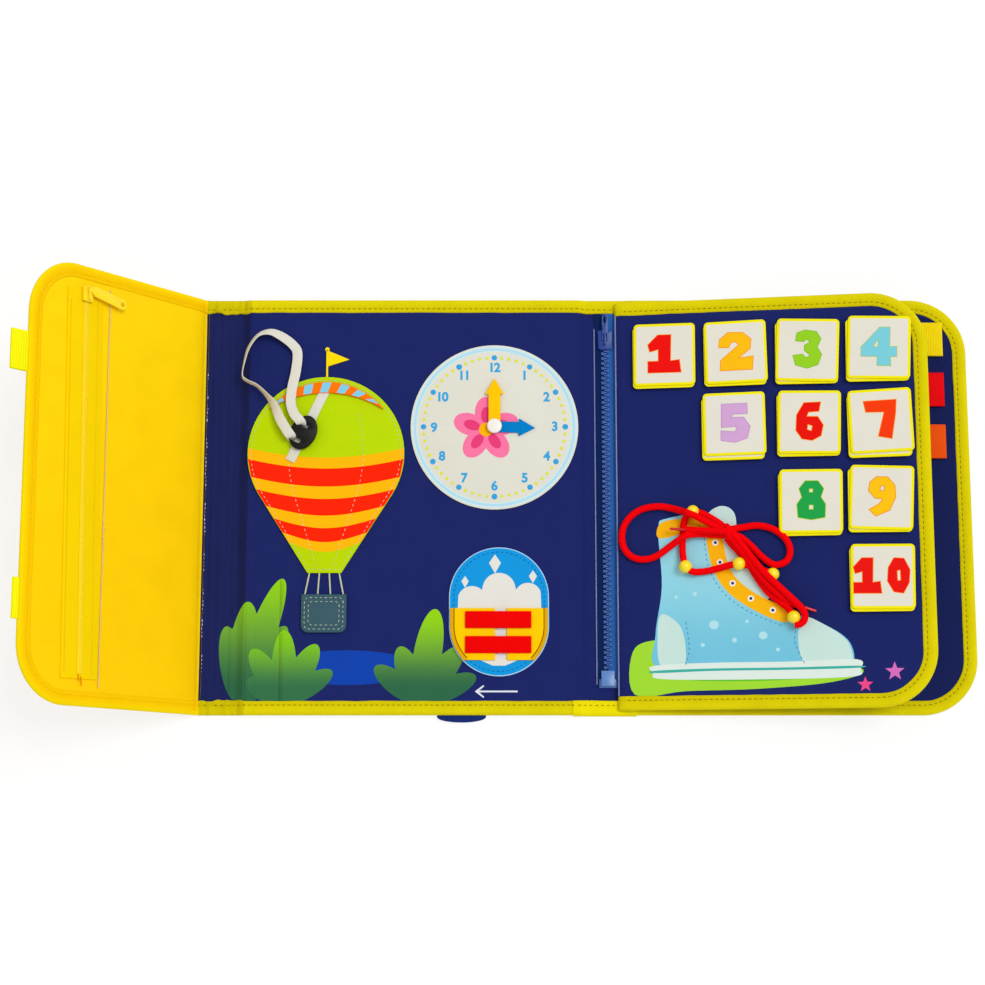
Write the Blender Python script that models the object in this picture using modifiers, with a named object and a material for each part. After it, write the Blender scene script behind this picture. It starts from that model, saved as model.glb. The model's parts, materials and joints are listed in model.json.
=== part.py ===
"""Fold-out busy board backpack, lying open on a table.

Metres, +Z up. X runs from the raised flap to the cover, Y up the leaves, and the origin is
at the middle of the footprint, on the table. Every leaf is modelled lying flat beside its
fold, and the pivots at the end of the script turn the flap and the page to where they rest.
"""

import math
from dataclasses import dataclass

import bmesh
import bpy
from mathutils import Matrix, Vector

# Leaves and folds, left to right
LEAF_HEIGHT = 0.300
FLAP_LENGTH = 0.162
GUSSET_WIDTH = 0.025
BACK_WIDTH = 0.2512
SPINE_WIDTH = 0.0239
COVER_WIDTH = 0.2484
PAGE_WIDTH = 0.213
PAGE_MARGIN = 0.003
PAGE_INSET = 0.0024
CORNER_RADIUS = 0.040
FLAP_RAISE = math.radians(51.5)
PAGE_RAISE = math.radians(9)

# Layers
PLAY = 0.0003
FABRIC = 0.0014
FELT = 0.0016
BACK_THICKNESS = 0.0055
LEAF_THICKNESS = 0.004
BINDING_WIDTH = 0.010
BINDING_WALL = 0.0008

# Shoulder straps under the back panel
STRAP_WIDTH = 0.036
STRAP_THICKNESS = 0.002
STRAP_SPACING = 0.060
STRAP_TOP_INSET = 0.015
STRAP_FOLD_INSET = 0.009
STRAP_SLACK = 0.003

# Webbing loops on the flap and on the cover
WEBBING = 0.0012
LOOP_SLIT = 0.0004
TAB_WIDTH = 0.027
TAB_REACH = 0.014
LOWER_TAB_REACH = 0.005
UPPER_TAB_Y = 0.081
LOWER_TAB_Y = -0.083
TAB_BASE = 0.0006
LOOP_LENGTH = 0.034
LOOP_EDGE_GAP = 0.017
LOOP_WIDTH = 0.0245
YELLOW_LOOP_Y = 0.120
RED_LOOP_Y = 0.083
ORANGE_LOOP_Y = 0.045

# Hot-air balloon on the back panel, measured from the middle of the panel
BALLOON_X = -0.0625
BALLOON_Y = 0.036
BALLOON_RADIUS = 0.056
BALLOON_MOUTH_WIDTH = 0.024
BALLOON_MOUTH_DROP = 0.086
BELLY_TURN = math.radians(32)
CROWN_INSET = 0.004
CROWN_TURN = math.radians(52)
CROWN_SAG = 0.012
CROWN_THICKNESS = 0.0015
BASKET_WIDTH = 0.032
BASKET_HEIGHT = 0.027
BASKET_DROP = 0.101
BASKET_THICKNESS = 0.0024
BASKET_ROUND = 0.005

# White elastic, its slide and its free loop
ELASTIC_WIDTH = 0.007
ELASTIC_THICKNESS = 0.0008
ELASTIC_START_X = -0.0880
ELASTIC_START_Y = 0.0304
ELASTIC_END_X = -0.0624
ELASTIC_END_Y = 0.0842
SLIDE_X = -0.0785
SLIDE_Y = 0.0505
SLIDE_LENGTH = 0.0256
SLIDE_WIDTH = 0.0185
SLIDE_THICKNESS = 0.005
SLOT_LENGTH = 0.003
SLOT_WIDTH = 0.0082
# Middles of the slide's two slots, as shares of its length and width
SLOT_SHARES = ((0.20, -0.14), (-0.27, -0.16))
# The loop's route: along and up the panel from its middle, height over the felt, and lean in degrees
LOOP_ROUTE = (
    (-0.0790, 0.0560, 0.0066, 0),
    (-0.0850, 0.0640, 0.0062, 6),
    (-0.0885, 0.0725, 0.0042, 12),
    (-0.0866, 0.0840, 0.0036, 8),
    (-0.0842, 0.0970, 0.0024, 4),
    (-0.0836, 0.1095, 0.0014, 6),
    (-0.0880, 0.1165, 0.0018, 16),
    (-0.0960, 0.1218, 0.0024, 30),
    (-0.1035, 0.1238, 0.0032, 48),
    (-0.1110, 0.1205, 0.0038, 66),
    (-0.1165, 0.1120, 0.0040, 80),
    (-0.1198, 0.1010, 0.0040, 86),
    (-0.1200, 0.0920, 0.0040, 86),
    (-0.1135, 0.0865, 0.0042, 84),
    (-0.1050, 0.0775, 0.0046, 76),
    (-0.0985, 0.0680, 0.0054, 50),
    (-0.0930, 0.0570, 0.0070, 22),
    (-0.0868, 0.0480, 0.0066, 2),
)

# Clock, measured from the middle of the back panel
CLOCK_X = 0.0578
CLOCK_Y = 0.0555
CLOCK_RADIUS = 0.060
DIAL_THICKNESS = 0.0012
HAND_THICKNESS = 0.0012
POST_RADIUS = 0.0019
POST_HEAD_RADIUS = 0.0053
POST_HEAD_HEIGHT = 0.0012
MINUTE_REACH = 0.035
MINUTE_SHAFT = 0.0085
MINUTE_HEAD = 0.0135
HOUR_REACH = 0.029
HOUR_SHAFT = 0.0078
HOUR_HEAD = 0.0128
HEAD_LENGTH = 0.0115
HOUR_TURN = math.radians(-92)

# Sandal patch, measured from the middle of the back panel
SHOE_X = 0.0610
SHOE_Y = -0.0774
SHOE_WIDTH = 0.0705
SHOE_HEIGHT = 0.0914
SHOE_FLAP_INSET = 0.0021
SHOE_FLAP_TOP = 0.0023
SHOE_FLAP_HEIGHT = 0.0367
SHOE_FLAP_THICKNESS = 0.0012
SHOE_LEFT_WIDTH = 0.0303
SHOE_FLAP_GAP = 0.0084
SHOE_STRAP_LENGTH = 0.0466
SHOE_STRAP_WIDTH = 0.012
SHOE_STRAP_THICKNESS = 0.0012
SHOE_STRAP_INSET = 0.0093
SHOE_STRAP_DROP = 0.0023
SHOE_STRAP_PITCH = 0.0176

# Chunky zip on the spine
ZIP_TAPE_WIDTH = 0.015
ZIP_TAPE = 0.0005
ZIP_TOP_INSET = 0.023
ZIP_BOTTOM_INSET = 0.0315
TOOTH_PITCH = 0.0036
TOOTH_ROOT = 0.0022
TOOTH_HEAD = 0.0014
TOOTH_HALF_SPAN = 0.0038
TOOTH_OVERLAP = 0.0009
TOOTH_NECK = 0.0011
TOOTH_HEIGHT = 0.00145
TOOTH_SINK = 0.00025
SLIDER_LENGTH = 0.014
SLIDER_WIDTH = 0.0104
SLIDER_TAIL_WIDTH = 0.0094
SLIDER_WALL = 0.0006
SLIDER_PLATE = 0.0008
SLIDER_SKIRT = 0.0009
BRIDGE_LENGTH = 0.0082
BRIDGE_WIDTH = 0.0016
BRIDGE_OPENING = 0.0011
BRIDGE_WALL = 0.0008
PULL_LENGTH = 0.0195
PULL_WIDTH = 0.0044
PULL_THICKNESS = 0.0008
PULL_EYE = 0.0026
PULL_BAR = 0.0006
PULL_SLOT_LENGTH = 0.0048
EYE_WALL = 0.0009
EYE_NECK_TURN = math.radians(40)
ZIP_BOX_LENGTH = 0.011
ZIP_BOX_WIDTH = 0.0094
ZIP_BOX_HEIGHT = 0.0021

# Pocket and coil zip on the flap, measured from the flap's fold
FLAP_ZIP_X = 0.1135
FLAP_ZIP_SLANT = math.radians(1.1)
FLAP_TAPE_WIDTH = 0.031
FLAP_TAPE_INSET = 0.018
FLAP_TAPE = 0.0004
COIL_WIDTH = 0.005
COIL_HEIGHT = 0.0012
COIL_TOP_INSET = 0.026
COIL_BOTTOM_INSET = 0.022
COIL_SLIDER_LENGTH = 0.0105
COIL_SLIDER_WIDTH = 0.008
COIL_PULL_LENGTH = 0.034
COIL_PULL_WIDTH = 0.0072
COIL_PULL_TURN = math.radians(-101)
WINDOW_NEAR = 0.004
WINDOW_FAR = 0.0945
WINDOW_MARGIN = 0.001
WINDOW_THICKNESS = 0.0004

# Number tiles on the page, measured from the page's fold edge
TILE_WIDTH = 0.045
TILE_HEIGHT = 0.047
TILE_THICKNESS = 0.002
PAD_THICKNESS = 0.0023
PAD_INSET = 0.006
TILE_ROUND = 0.003
TILE_FIRST_X = 0.027
TILE_FIRST_Y = 0.107
TILE_PITCH_X = 0.051
TILE_PITCH_Y = 0.0544
TILE_TURNS = (2, -1, 1, 0, 2, 0, -5, -1, 1, -1)
TILE_ROWS = (0, 1, 2, 3)

# Lacing studs and the lace, measured from the page's fold edge
STUD_RADIUS = 0.0046
STUD_NECK = 0.0020
STUD_LIFT = 0.0007
# Studs' places, as shares of the page's width and of half its height
STUD_SHARES = ((0.2197, -0.0565), (0.1930, -0.3211), (0.3681, -0.3129), (0.4775, -0.3667), (0.5418, -0.5721))
LACE_RADIUS = 0.0022
KNOT_PLACE = (0.0712, -0.0233)
KNOT_LENGTH = 0.0068
KNOT_WIDTH = 0.0098
KNOT_HEIGHT = 0.0086
TIP_RADIUS = 0.0009
TIP_LENGTH = 0.011
# The lace's stretches between its passes through the knot: along and up the page, and height over it
LACE_ROUTES = {
    "left_loop": (
        (0.0700, -0.0212, 0.0060), (0.0640, -0.0186, 0.0074), (0.0570, -0.0164, 0.0084),
        (0.0500, -0.0146, 0.0100), (0.0450, -0.0134, 0.0107), (0.0400, -0.0112, 0.0090),
        (0.0330, -0.0082, 0.0046), (0.0230, -0.0058, 0.0026), (0.0125, -0.0070, 0.0026),
        (0.0060, -0.0140, 0.0026), (0.0042, -0.0240, 0.0026), (0.0072, -0.0338, 0.0026),
        (0.0152, -0.0384, 0.0026), (0.0255, -0.0362, 0.0028), (0.0335, -0.0322, 0.0046),
        (0.0410, -0.0288, 0.0076), (0.0490, -0.0267, 0.0058), (0.0580, -0.0262, 0.0032),
        (0.0700, -0.0258, 0.0034),
    ),
    "right_loop": (
        (0.0725, -0.0212, 0.0034), (0.0828, -0.0206, 0.0026), (0.0926, -0.0197, 0.0026),
        (0.1040, -0.0245, 0.0026), (0.1120, -0.0335, 0.0026), (0.1120, -0.0418, 0.0026),
        (0.1052, -0.0465, 0.0026), (0.0968, -0.0450, 0.0026), (0.0906, -0.0380, 0.0026),
        (0.0845, -0.0302, 0.0028), (0.0725, -0.0250, 0.0034),
    ),
    "lacing": (
        (0.0705, -0.0212, 0.0028), (0.0645, -0.0165, 0.0026), (0.0590, -0.0132, 0.0026),
        (0.0535, -0.0142, 0.0026), (0.0480, -0.0172, 0.0026), (0.0430, -0.0186, 0.0026),
        (0.0408, -0.0240, 0.0026), (0.0402, -0.0310, 0.0026), (0.0376, -0.0375, 0.0026),
        (0.0334, -0.0432, 0.0026), (0.0328, -0.0500, 0.0026), (0.0380, -0.0554, 0.0026),
        (0.0465, -0.0548, 0.0026), (0.0560, -0.0524, 0.0026), (0.0640, -0.0510, 0.0026),
        (0.0710, -0.0528, 0.0026), (0.0785, -0.0544, 0.0026), (0.0850, -0.0562, 0.0026),
        (0.0895, -0.0620, 0.0026), (0.0955, -0.0692, 0.0026), (0.1025, -0.0745, 0.0026),
        (0.1070, -0.0805, 0.0026), (0.1078, -0.0880, 0.0026), (0.1130, -0.0928, 0.0026),
        (0.1198, -0.0914, 0.0026), (0.1238, -0.0850, 0.0026), (0.1215, -0.0780, 0.0026),
        (0.1145, -0.0748, 0.0026), (0.1060, -0.0692, 0.0026), (0.0980, -0.0632, 0.0026),
        (0.0938, -0.0560, 0.0026), (0.0900, -0.0480, 0.0026), (0.0830, -0.0386, 0.0026),
        (0.0722, -0.0262, 0.0030),
    ),
    "left_tail": (
        (0.0700, -0.0230, 0.0072), (0.0620, -0.0228, 0.0076), (0.0520, -0.0221, 0.0076),
        (0.0410, -0.0214, 0.0074),
    ),
    "right_tail": (
        (0.0725, -0.0262, 0.0072), (0.0815, -0.0372, 0.0080), (0.0880, -0.0455, 0.0080),
        (0.0945, -0.0550, 0.0080), (0.1010, -0.0640, 0.0078), (0.1080, -0.0720, 0.0078),
        (0.1160, -0.0758, 0.0074), (0.1225, -0.0782, 0.0052), (0.1290, -0.0806, 0.0028),
    ),
}

# Curve quality
WIDE_STEPS = 9
NARROW_STEPS = 4
DISC_STEPS = 64
PIN_STEPS = 20
TUBE_STEPS = 2
SHARP_TURN = math.radians(40)
ROUTE_SAMPLES = 8
WELD = 0.00001
OVERRUN = 0.002

# Everything below is worked out from the sizes above
HALF_HEIGHT = LEAF_HEIGHT / 2
PAGE_HEIGHT = LEAF_HEIGHT - 2 * PAGE_MARGIN
STRAP_TOP = HALF_HEIGHT - STRAP_TOP_INSET
STRAP_FOLD = HALF_HEIGHT - STRAP_FOLD_INSET
ZIP_TOP = HALF_HEIGHT - ZIP_TOP_INSET
ZIP_BOTTOM = ZIP_BOTTOM_INSET - HALF_HEIGHT
SLIDER_Y = ZIP_TOP - SLIDER_LENGTH / 2
FLAP_TAPE_LENGTH = LEAF_HEIGHT - 2 * FLAP_TAPE_INSET
COIL_TOP = HALF_HEIGHT - COIL_TOP_INSET
COIL_BOTTOM = COIL_BOTTOM_INSET - HALF_HEIGHT
COIL_SLIDER_Y = COIL_TOP + COIL_SLIDER_LENGTH / 2
WINDOW_HEIGHT = LEAF_HEIGHT - 2 * (BINDING_WIDTH + WINDOW_MARGIN)
FLAP_REACH = (FLAP_LENGTH + TAB_REACH) * math.cos(FLAP_RAISE)
OPEN_WIDTH = FLAP_REACH + GUSSET_WIDTH + BACK_WIDTH + SPINE_WIDTH + COVER_WIDTH
FLAP_FOLD = FLAP_REACH - OPEN_WIDTH / 2
GUSSET_FOLD = FLAP_FOLD + GUSSET_WIDTH
SPINE_FOLD = GUSSET_FOLD + BACK_WIDTH
COVER_FOLD = SPINE_FOLD + SPINE_WIDTH
COVER_EDGE = COVER_FOLD + COVER_WIDTH
PAGE_FOLD = COVER_FOLD + PAGE_INSET
BACK_MIDDLE = (GUSSET_FOLD + SPINE_FOLD) / 2
SPINE_MIDDLE = (SPINE_FOLD + COVER_FOLD) / 2
PAGE_BASE = LEAF_THICKNESS + PLAY
PAGE_TOP = PAGE_BASE + LEAF_THICKNESS
FELT_BASE = BACK_THICKNESS + PLAY
FELT_TOP = FELT_BASE + FELT
ELASTIC_BASE = FELT_TOP + PLAY
ELASTIC_TOP = ELASTIC_BASE + ELASTIC_THICKNESS
PAD_TOP = PAGE_TOP + PAD_THICKNESS
TILE_BASE = PAD_TOP + PLAY
TAPE_BASE = FABRIC + PLAY
TAPE_TOP = TAPE_BASE + ZIP_TAPE
BRIDGE_LEG_Y = (BRIDGE_LENGTH - BRIDGE_WALL) / 2

NAVY = (0.018, 0.022, 0.115)
DEEP_BLUE = (0.018, 0.078, 0.300)
BINDING_YELLOW = (0.620, 0.540, 0.004)
FLAP_YELLOW = (0.900, 0.520, 0.004)
SUN = (0.930, 0.620, 0.010)
LIME = (0.420, 0.640, 0.010)
TEAL = (0.030, 0.110, 0.150)
SKY = (0.010, 0.350, 0.840)
PALE_SKY = (0.300, 0.640, 0.800)
WHITE = (0.820, 0.810, 0.780)
RED = (0.780, 0.010, 0.010)
ORANGE = (0.860, 0.180, 0.020)
BLACK = (0.012, 0.011, 0.011)
CREAM = (0.860, 0.840, 0.780)

CLOTH = 0.85
PLASTIC = 0.35
CLEAR = 0.08

parts = None
cutters = None


@dataclass
class Leaf:
    """A bound leaf: where it lies, and which of its sides are fold sides without binding."""

    left: float
    right: float
    height: float
    base: float
    thickness: float
    radius: float
    open_left: bool
    open_right: bool

    def outline(self, inset, overrun=0.0):
        """The leaf's outline drawn in from its bound edges, and run past its open ones."""
        left = self.left - overrun if self.open_left else self.left + inset
        right = self.right + overrun if self.open_right else self.right - inset
        reach = self.height / 2 - inset
        turned = max(self.radius - inset, 0.0)
        near = 0.0 if self.open_left else turned
        far = 0.0 if self.open_right else turned
        return rounded_outline(left, right, -reach, reach, (near, far, far, near), WIDE_STEPS)


def clear_scene():
    """Start from an empty file and make the two collections."""
    global parts, cutters
    for item in list(bpy.data.objects):
        bpy.data.objects.remove(item, do_unlink=True)
    parts = bpy.data.collections.new("busy_board_backpack")
    cutters = bpy.data.collections.new("cutters")
    bpy.context.scene.collection.children.link(parts)
    bpy.context.scene.collection.children.link(cutters)


def finish(name, colour, roughness, alpha=1.0):
    """A Principled material of one colour."""
    made = bpy.data.materials.new(name)
    made.use_nodes = True
    shader = made.node_tree.nodes["Principled BSDF"]
    shader.inputs["Base Color"].default_value = (*colour, 1.0)
    shader.inputs["Roughness"].default_value = roughness
    shader.inputs["Metallic"].default_value = 0.0
    shader.inputs["Alpha"].default_value = alpha
    made.diffuse_color = (*colour, alpha)
    return made


def add_piece(name, mesh, colour=None, roughness=CLOTH, alpha=1.0):
    """Put a mesh into the model as one named piece, or among the cutters if it has no colour."""
    mesh.name = name
    piece = bpy.data.objects.new(name, mesh)
    if colour is None:
        cutters.objects.link(piece)
        piece.hide_render = True
        piece.display_type = "WIRE"
    else:
        parts.objects.link(piece)
        mesh.materials.append(finish(name, colour, roughness, alpha))
    return piece


def tidy_mesh(mesh):
    """Weld what touches, turn every face outwards and shade the round stretches smooth."""
    edit = bmesh.new()
    edit.from_mesh(mesh)
    bmesh.ops.remove_doubles(edit, verts=edit.verts, dist=WELD)
    bmesh.ops.recalc_face_normals(edit, faces=edit.faces)
    edit.to_mesh(mesh)
    edit.free()
    mesh.shade_smooth()
    mesh.set_sharp_from_angle(angle=SHARP_TURN)
    return mesh


def mesh_of(item):
    """The evaluated mesh of a guide object in world space; the guide is removed."""
    bpy.context.scene.collection.objects.link(item)
    bpy.context.view_layer.update()
    evaluated = item.evaluated_get(bpy.context.evaluated_depsgraph_get())
    mesh = bpy.data.meshes.new_from_object(evaluated)
    mesh.transform(item.matrix_world)
    mesh.materials.clear()
    bpy.data.objects.remove(item, do_unlink=True)
    return tidy_mesh(mesh)


def rounded_outline(left, right, bottom, top, radii, steps=NARROW_STEPS):
    """A rectangle whose four corners, from the lower left round to the upper left, are arcs."""
    corners = ((left, bottom, 1, 1), (right, bottom, -1, 1), (right, top, -1, -1), (left, top, 1, -1))
    points = []
    for turn, ((x, y, inward_x, inward_y), radius) in enumerate(zip(corners, radii)):
        if radius <= 0:
            points.append((x, y))
            continue
        middle = (x + inward_x * radius, y + inward_y * radius)
        start = math.pi + turn * math.pi / 2
        points += arc(middle, radius, start, start + math.pi / 2, steps)
    return points


def arc(middle, radius, start, end, steps):
    """Points along an arc, both ends included."""
    angles = [start + (end - start) * step / steps for step in range(steps + 1)]
    return [(middle[0] + radius * math.cos(a), middle[1] + radius * math.sin(a)) for a in angles]


def bar_outline(start, end, width):
    """A straight bar of a width between two points."""
    along = (Vector(end) - Vector(start)).normalized()
    side = Vector((-along.y, along.x)) * width / 2
    first, last = Vector(start), Vector(end)
    return [tuple(first + side), tuple(first - side), tuple(last - side), tuple(last + side)]


def plate_mesh(loops, low, high, upright=False):
    """A flat outline with holes, filled and given thickness.

    Flat plates lie in XY between two heights. Upright ones lie in XZ between two places on Y.
    """
    curve = bpy.data.curves.new("outline", "CURVE")
    curve.dimensions = "2D"
    curve.fill_mode = "BOTH"
    curve.extrude = (high - low) / 2
    for loop in loops:
        spline = curve.splines.new("POLY")
        spline.points.add(len(loop) - 1)
        for point, (x, y) in zip(spline.points, loop):
            point.co = (x, y, 0, 1)
        spline.use_cyclic_u = True
    guide = bpy.data.objects.new("outline", curve)
    middle = (low + high) / 2
    if upright:
        guide.rotation_euler.x = math.pi / 2
        guide.location.y = middle
    else:
        guide.location.z = middle
    return mesh_of(guide)


def block_mesh(low, high):
    """A box between two corners."""
    edit = bmesh.new()
    size = Vector(high) - Vector(low)
    middle = (Vector(high) + Vector(low)) / 2
    bmesh.ops.create_cube(edit, size=1, matrix=Matrix.Translation(middle) @ Matrix.Diagonal((*size, 1)))
    mesh = bpy.data.meshes.new("block")
    edit.to_mesh(mesh)
    edit.free()
    return mesh


def turned_mesh(profile, place, steps):
    """A profile of radius and height, from the top down its outer side, turned about Z."""
    edit = bmesh.new()
    corners = [edit.verts.new((radius, 0, height)) for radius, height in profile]
    for first, second in zip(corners, corners[1:]):
        edit.edges.new((first, second))
    mesh = bpy.data.meshes.new("profile")
    edit.to_mesh(mesh)
    edit.free()
    guide = bpy.data.objects.new("profile", mesh)
    guide.location = place
    screw = guide.modifiers.new("turn", "SCREW")
    screw.steps = steps
    screw.render_steps = steps
    screw.use_merge_vertices = True
    screw.merge_threshold = WELD
    return mesh_of(guide)


def tube_mesh(points, radius):
    """A round tube along points, with closed ends."""
    curve = bpy.data.curves.new("tube", "CURVE")
    curve.dimensions = "3D"
    curve.bevel_depth = radius
    curve.bevel_resolution = TUBE_STEPS
    curve.use_fill_caps = True
    spline = curve.splines.new("POLY")
    spline.points.add(len(points) - 1)
    for point, place in zip(spline.points, points):
        point.co = (*place, 1)
    return mesh_of(bpy.data.objects.new("tube", curve))


def smooth_route(route, spacing):
    """Evenly spaced points on a smooth curve through a route's own points."""
    knots = [Vector(place) for place in route]
    ends = [2 * knots[0] - knots[1]] + knots + [2 * knots[-1] - knots[-2]]
    fine = []
    for a, b, c, d in zip(ends, ends[1:], ends[2:], ends[3:]):
        for step in range(ROUTE_SAMPLES):
            t = step / ROUTE_SAMPLES
            bend = (2 * a - 5 * b + 4 * c - d) * t**2 + (3 * b - a - 3 * c + d) * t**3
            fine.append(b + ((c - a) * t + bend) / 2)
    fine.append(knots[-1])
    marks = [0.0]
    for first, second in zip(fine, fine[1:]):
        marks.append(marks[-1] + (second.xyz - first.xyz).length)
    count = max(1, round(marks[-1] / spacing))
    points, index = [], 0
    for step in range(count + 1):
        mark = marks[-1] * step / count
        while index < len(marks) - 2 and marks[index + 1] < mark:
            index += 1
        share = (mark - marks[index]) / (marks[index + 1] - marks[index])
        points.append(fine[index].lerp(fine[index + 1], share))
    return points


def gathered(meshes):
    """Several bodies as one mesh."""
    edit = bmesh.new()
    for mesh in meshes:
        edit.from_mesh(mesh)
    whole = bpy.data.meshes.new("bodies")
    edit.to_mesh(whole)
    edit.free()
    return whole


def placed(mesh, matrix):
    """A copy of a mesh moved by a matrix."""
    copy = mesh.copy()
    copy.transform(matrix)
    return copy


def combine(piece, mesh, operation="DIFFERENCE"):
    """Cut a mesh out of a piece, or join it on."""
    cutter = add_piece(f"{piece.name}_{operation.lower()}", mesh)
    modifier = piece.modifiers.new(operation.title(), "BOOLEAN")
    modifier.operation = operation
    modifier.solver = "EXACT"
    modifier.object = cutter
    return piece


def pivot(name, place, parent=None):
    """An empty on a joint's axis."""
    empty = bpy.data.objects.new(name, None)
    parts.objects.link(empty)
    empty.location = place
    empty.empty_display_size = BINDING_WIDTH
    if parent is not None:
        attach(empty, parent)
    return empty


def attach(piece, carrier):
    """Hang a piece, and what cuts it, on a carrier that isn't turned yet."""
    bpy.context.view_layer.update()
    for item in [piece] + [m.object for m in piece.modifiers if m.type == "BOOLEAN"]:
        item.parent = carrier
        item.matrix_parent_inverse = carrier.matrix_world.inverted()


def bound_sheet(name, leaf, colour):
    """A leaf's padded sheet: full thickness inside, and thin where the binding grips it."""
    grip = BINDING_WALL + PLAY
    top = leaf.base + leaf.thickness
    rim = plate_mesh([leaf.outline(grip)], leaf.base + grip, top - grip)
    core = plate_mesh([leaf.outline(BINDING_WIDTH + PLAY)], leaf.base, top)
    return combine(add_piece(name, rim, colour), core, "UNION")


def binding(name, leaf, colour):
    """The folded tape round a leaf's bound edges, a channel that grips the sheet's rim."""
    top = leaf.base + leaf.thickness
    tape = add_piece(name, plate_mesh([leaf.outline(0.0)], leaf.base, top), colour)
    window = plate_mesh([leaf.outline(BINDING_WIDTH, OVERRUN)], leaf.base - OVERRUN, top + OVERRUN)
    slot = plate_mesh([leaf.outline(BINDING_WALL, OVERRUN)], leaf.base + BINDING_WALL, top - BINDING_WALL)
    combine(tape, window)
    return combine(tape, slot)


def end_binding(name, leaf, side, colour):
    """The folded tape on one end of a leaf that has fold sides left and right."""
    top = leaf.base + leaf.thickness
    reach = leaf.height / 2
    low, high = sorted((side * reach, side * (reach - BINDING_WIDTH)))
    tape = add_piece(name, block_mesh((leaf.left, low, leaf.base), (leaf.right, high, top)), colour)
    low, high = sorted((side * (reach - BINDING_WALL), side * (reach - BINDING_WIDTH - OVERRUN)))
    return combine(
        tape,
        block_mesh(
            (leaf.left - OVERRUN, low, leaf.base + BINDING_WALL), (leaf.right + OVERRUN, high, top - BINDING_WALL)
        ),
    )


def strip(name, left, right, carrier):
    """A single layer of fabric between two folds."""
    sheet = block_mesh((left + PLAY, -HALF_HEIGHT, 0), (right - PLAY, HALF_HEIGHT, FABRIC))
    attach(add_piece(name, sheet, NAVY), carrier)


def webbing_loop(name, near, far, middle, width, base, colour):
    """A piece of webbing folded into a flat loop whose nose points to the far end."""
    height = 2 * WEBBING + LOOP_SLIT
    centre = base + height / 2
    nose = height / 2
    way = 1 if far > near else -1
    turn = far - way * nose
    bend = arc((turn, centre), nose, -math.pi / 2, -math.pi / 2 + way * math.pi, NARROW_STEPS)
    slit = LOOP_SLIT / 2
    outline = [(near, centre - nose)] + bend + [(near, centre + nose)]
    outline += [(near, centre + slit), (turn, centre + slit), (turn, centre - slit), (near, centre - slit)]
    mesh = plate_mesh([outline], middle - width / 2, middle + width / 2, upright=True)
    return add_piece(name, mesh, colour)


def make_back_panel():
    """The middle leaf, which carries the shoulder straps in the channels they press into it."""
    leaf = Leaf(GUSSET_FOLD + PLAY, SPINE_FOLD - PLAY, LEAF_HEIGHT, 0.0, BACK_THICKNESS, 0.0, True, True)
    sheet = bound_sheet("back_panel", leaf, NAVY)
    edges = [
        end_binding("back_binding_upper", leaf, 1, BINDING_YELLOW),
        end_binding("back_binding_lower", leaf, -1, BINDING_YELLOW),
    ]
    for side, name, low in ((-1, "left", -STRAP_FOLD), (1, "right", -HALF_HEIGHT - STRAP_SLACK)):
        middle = BACK_MIDDLE + side * STRAP_SPACING / 2
        make_shoulder_strap(name, middle, low)
        reach = STRAP_WIDTH / 2 + PLAY
        channel = ((middle - reach, low - PLAY, -OVERRUN), (middle + reach, STRAP_TOP + PLAY, STRAP_THICKNESS + PLAY))
        combine(sheet, block_mesh(*channel))
        if low < HALF_HEIGHT - BINDING_WIDTH:
            combine(edges[1], block_mesh(*channel))


def make_shoulder_strap(name, middle, low):
    """One shoulder strap's webbing, lying flat under the back panel."""
    round_end = STRAP_THICKNESS
    outline = rounded_outline(
        middle - STRAP_WIDTH / 2, middle + STRAP_WIDTH / 2, low, STRAP_TOP, (round_end, round_end, 0, 0)
    )
    add_piece(f"shoulder_strap_{name}", plate_mesh([outline], 0, STRAP_THICKNESS), DEEP_BLUE)


def balloon_place(x, y):
    """A place on the back panel, measured from the middle of the balloon's envelope."""
    return BACK_MIDDLE + BALLOON_X + x, BALLOON_Y + y


def elastic_line():
    """Start and end of the elastic on the panel."""
    return [
        (BACK_MIDDLE + ELASTIC_START_X, ELASTIC_START_Y),
        (BACK_MIDDLE + ELASTIC_END_X, ELASTIC_END_Y),
    ]


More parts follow.
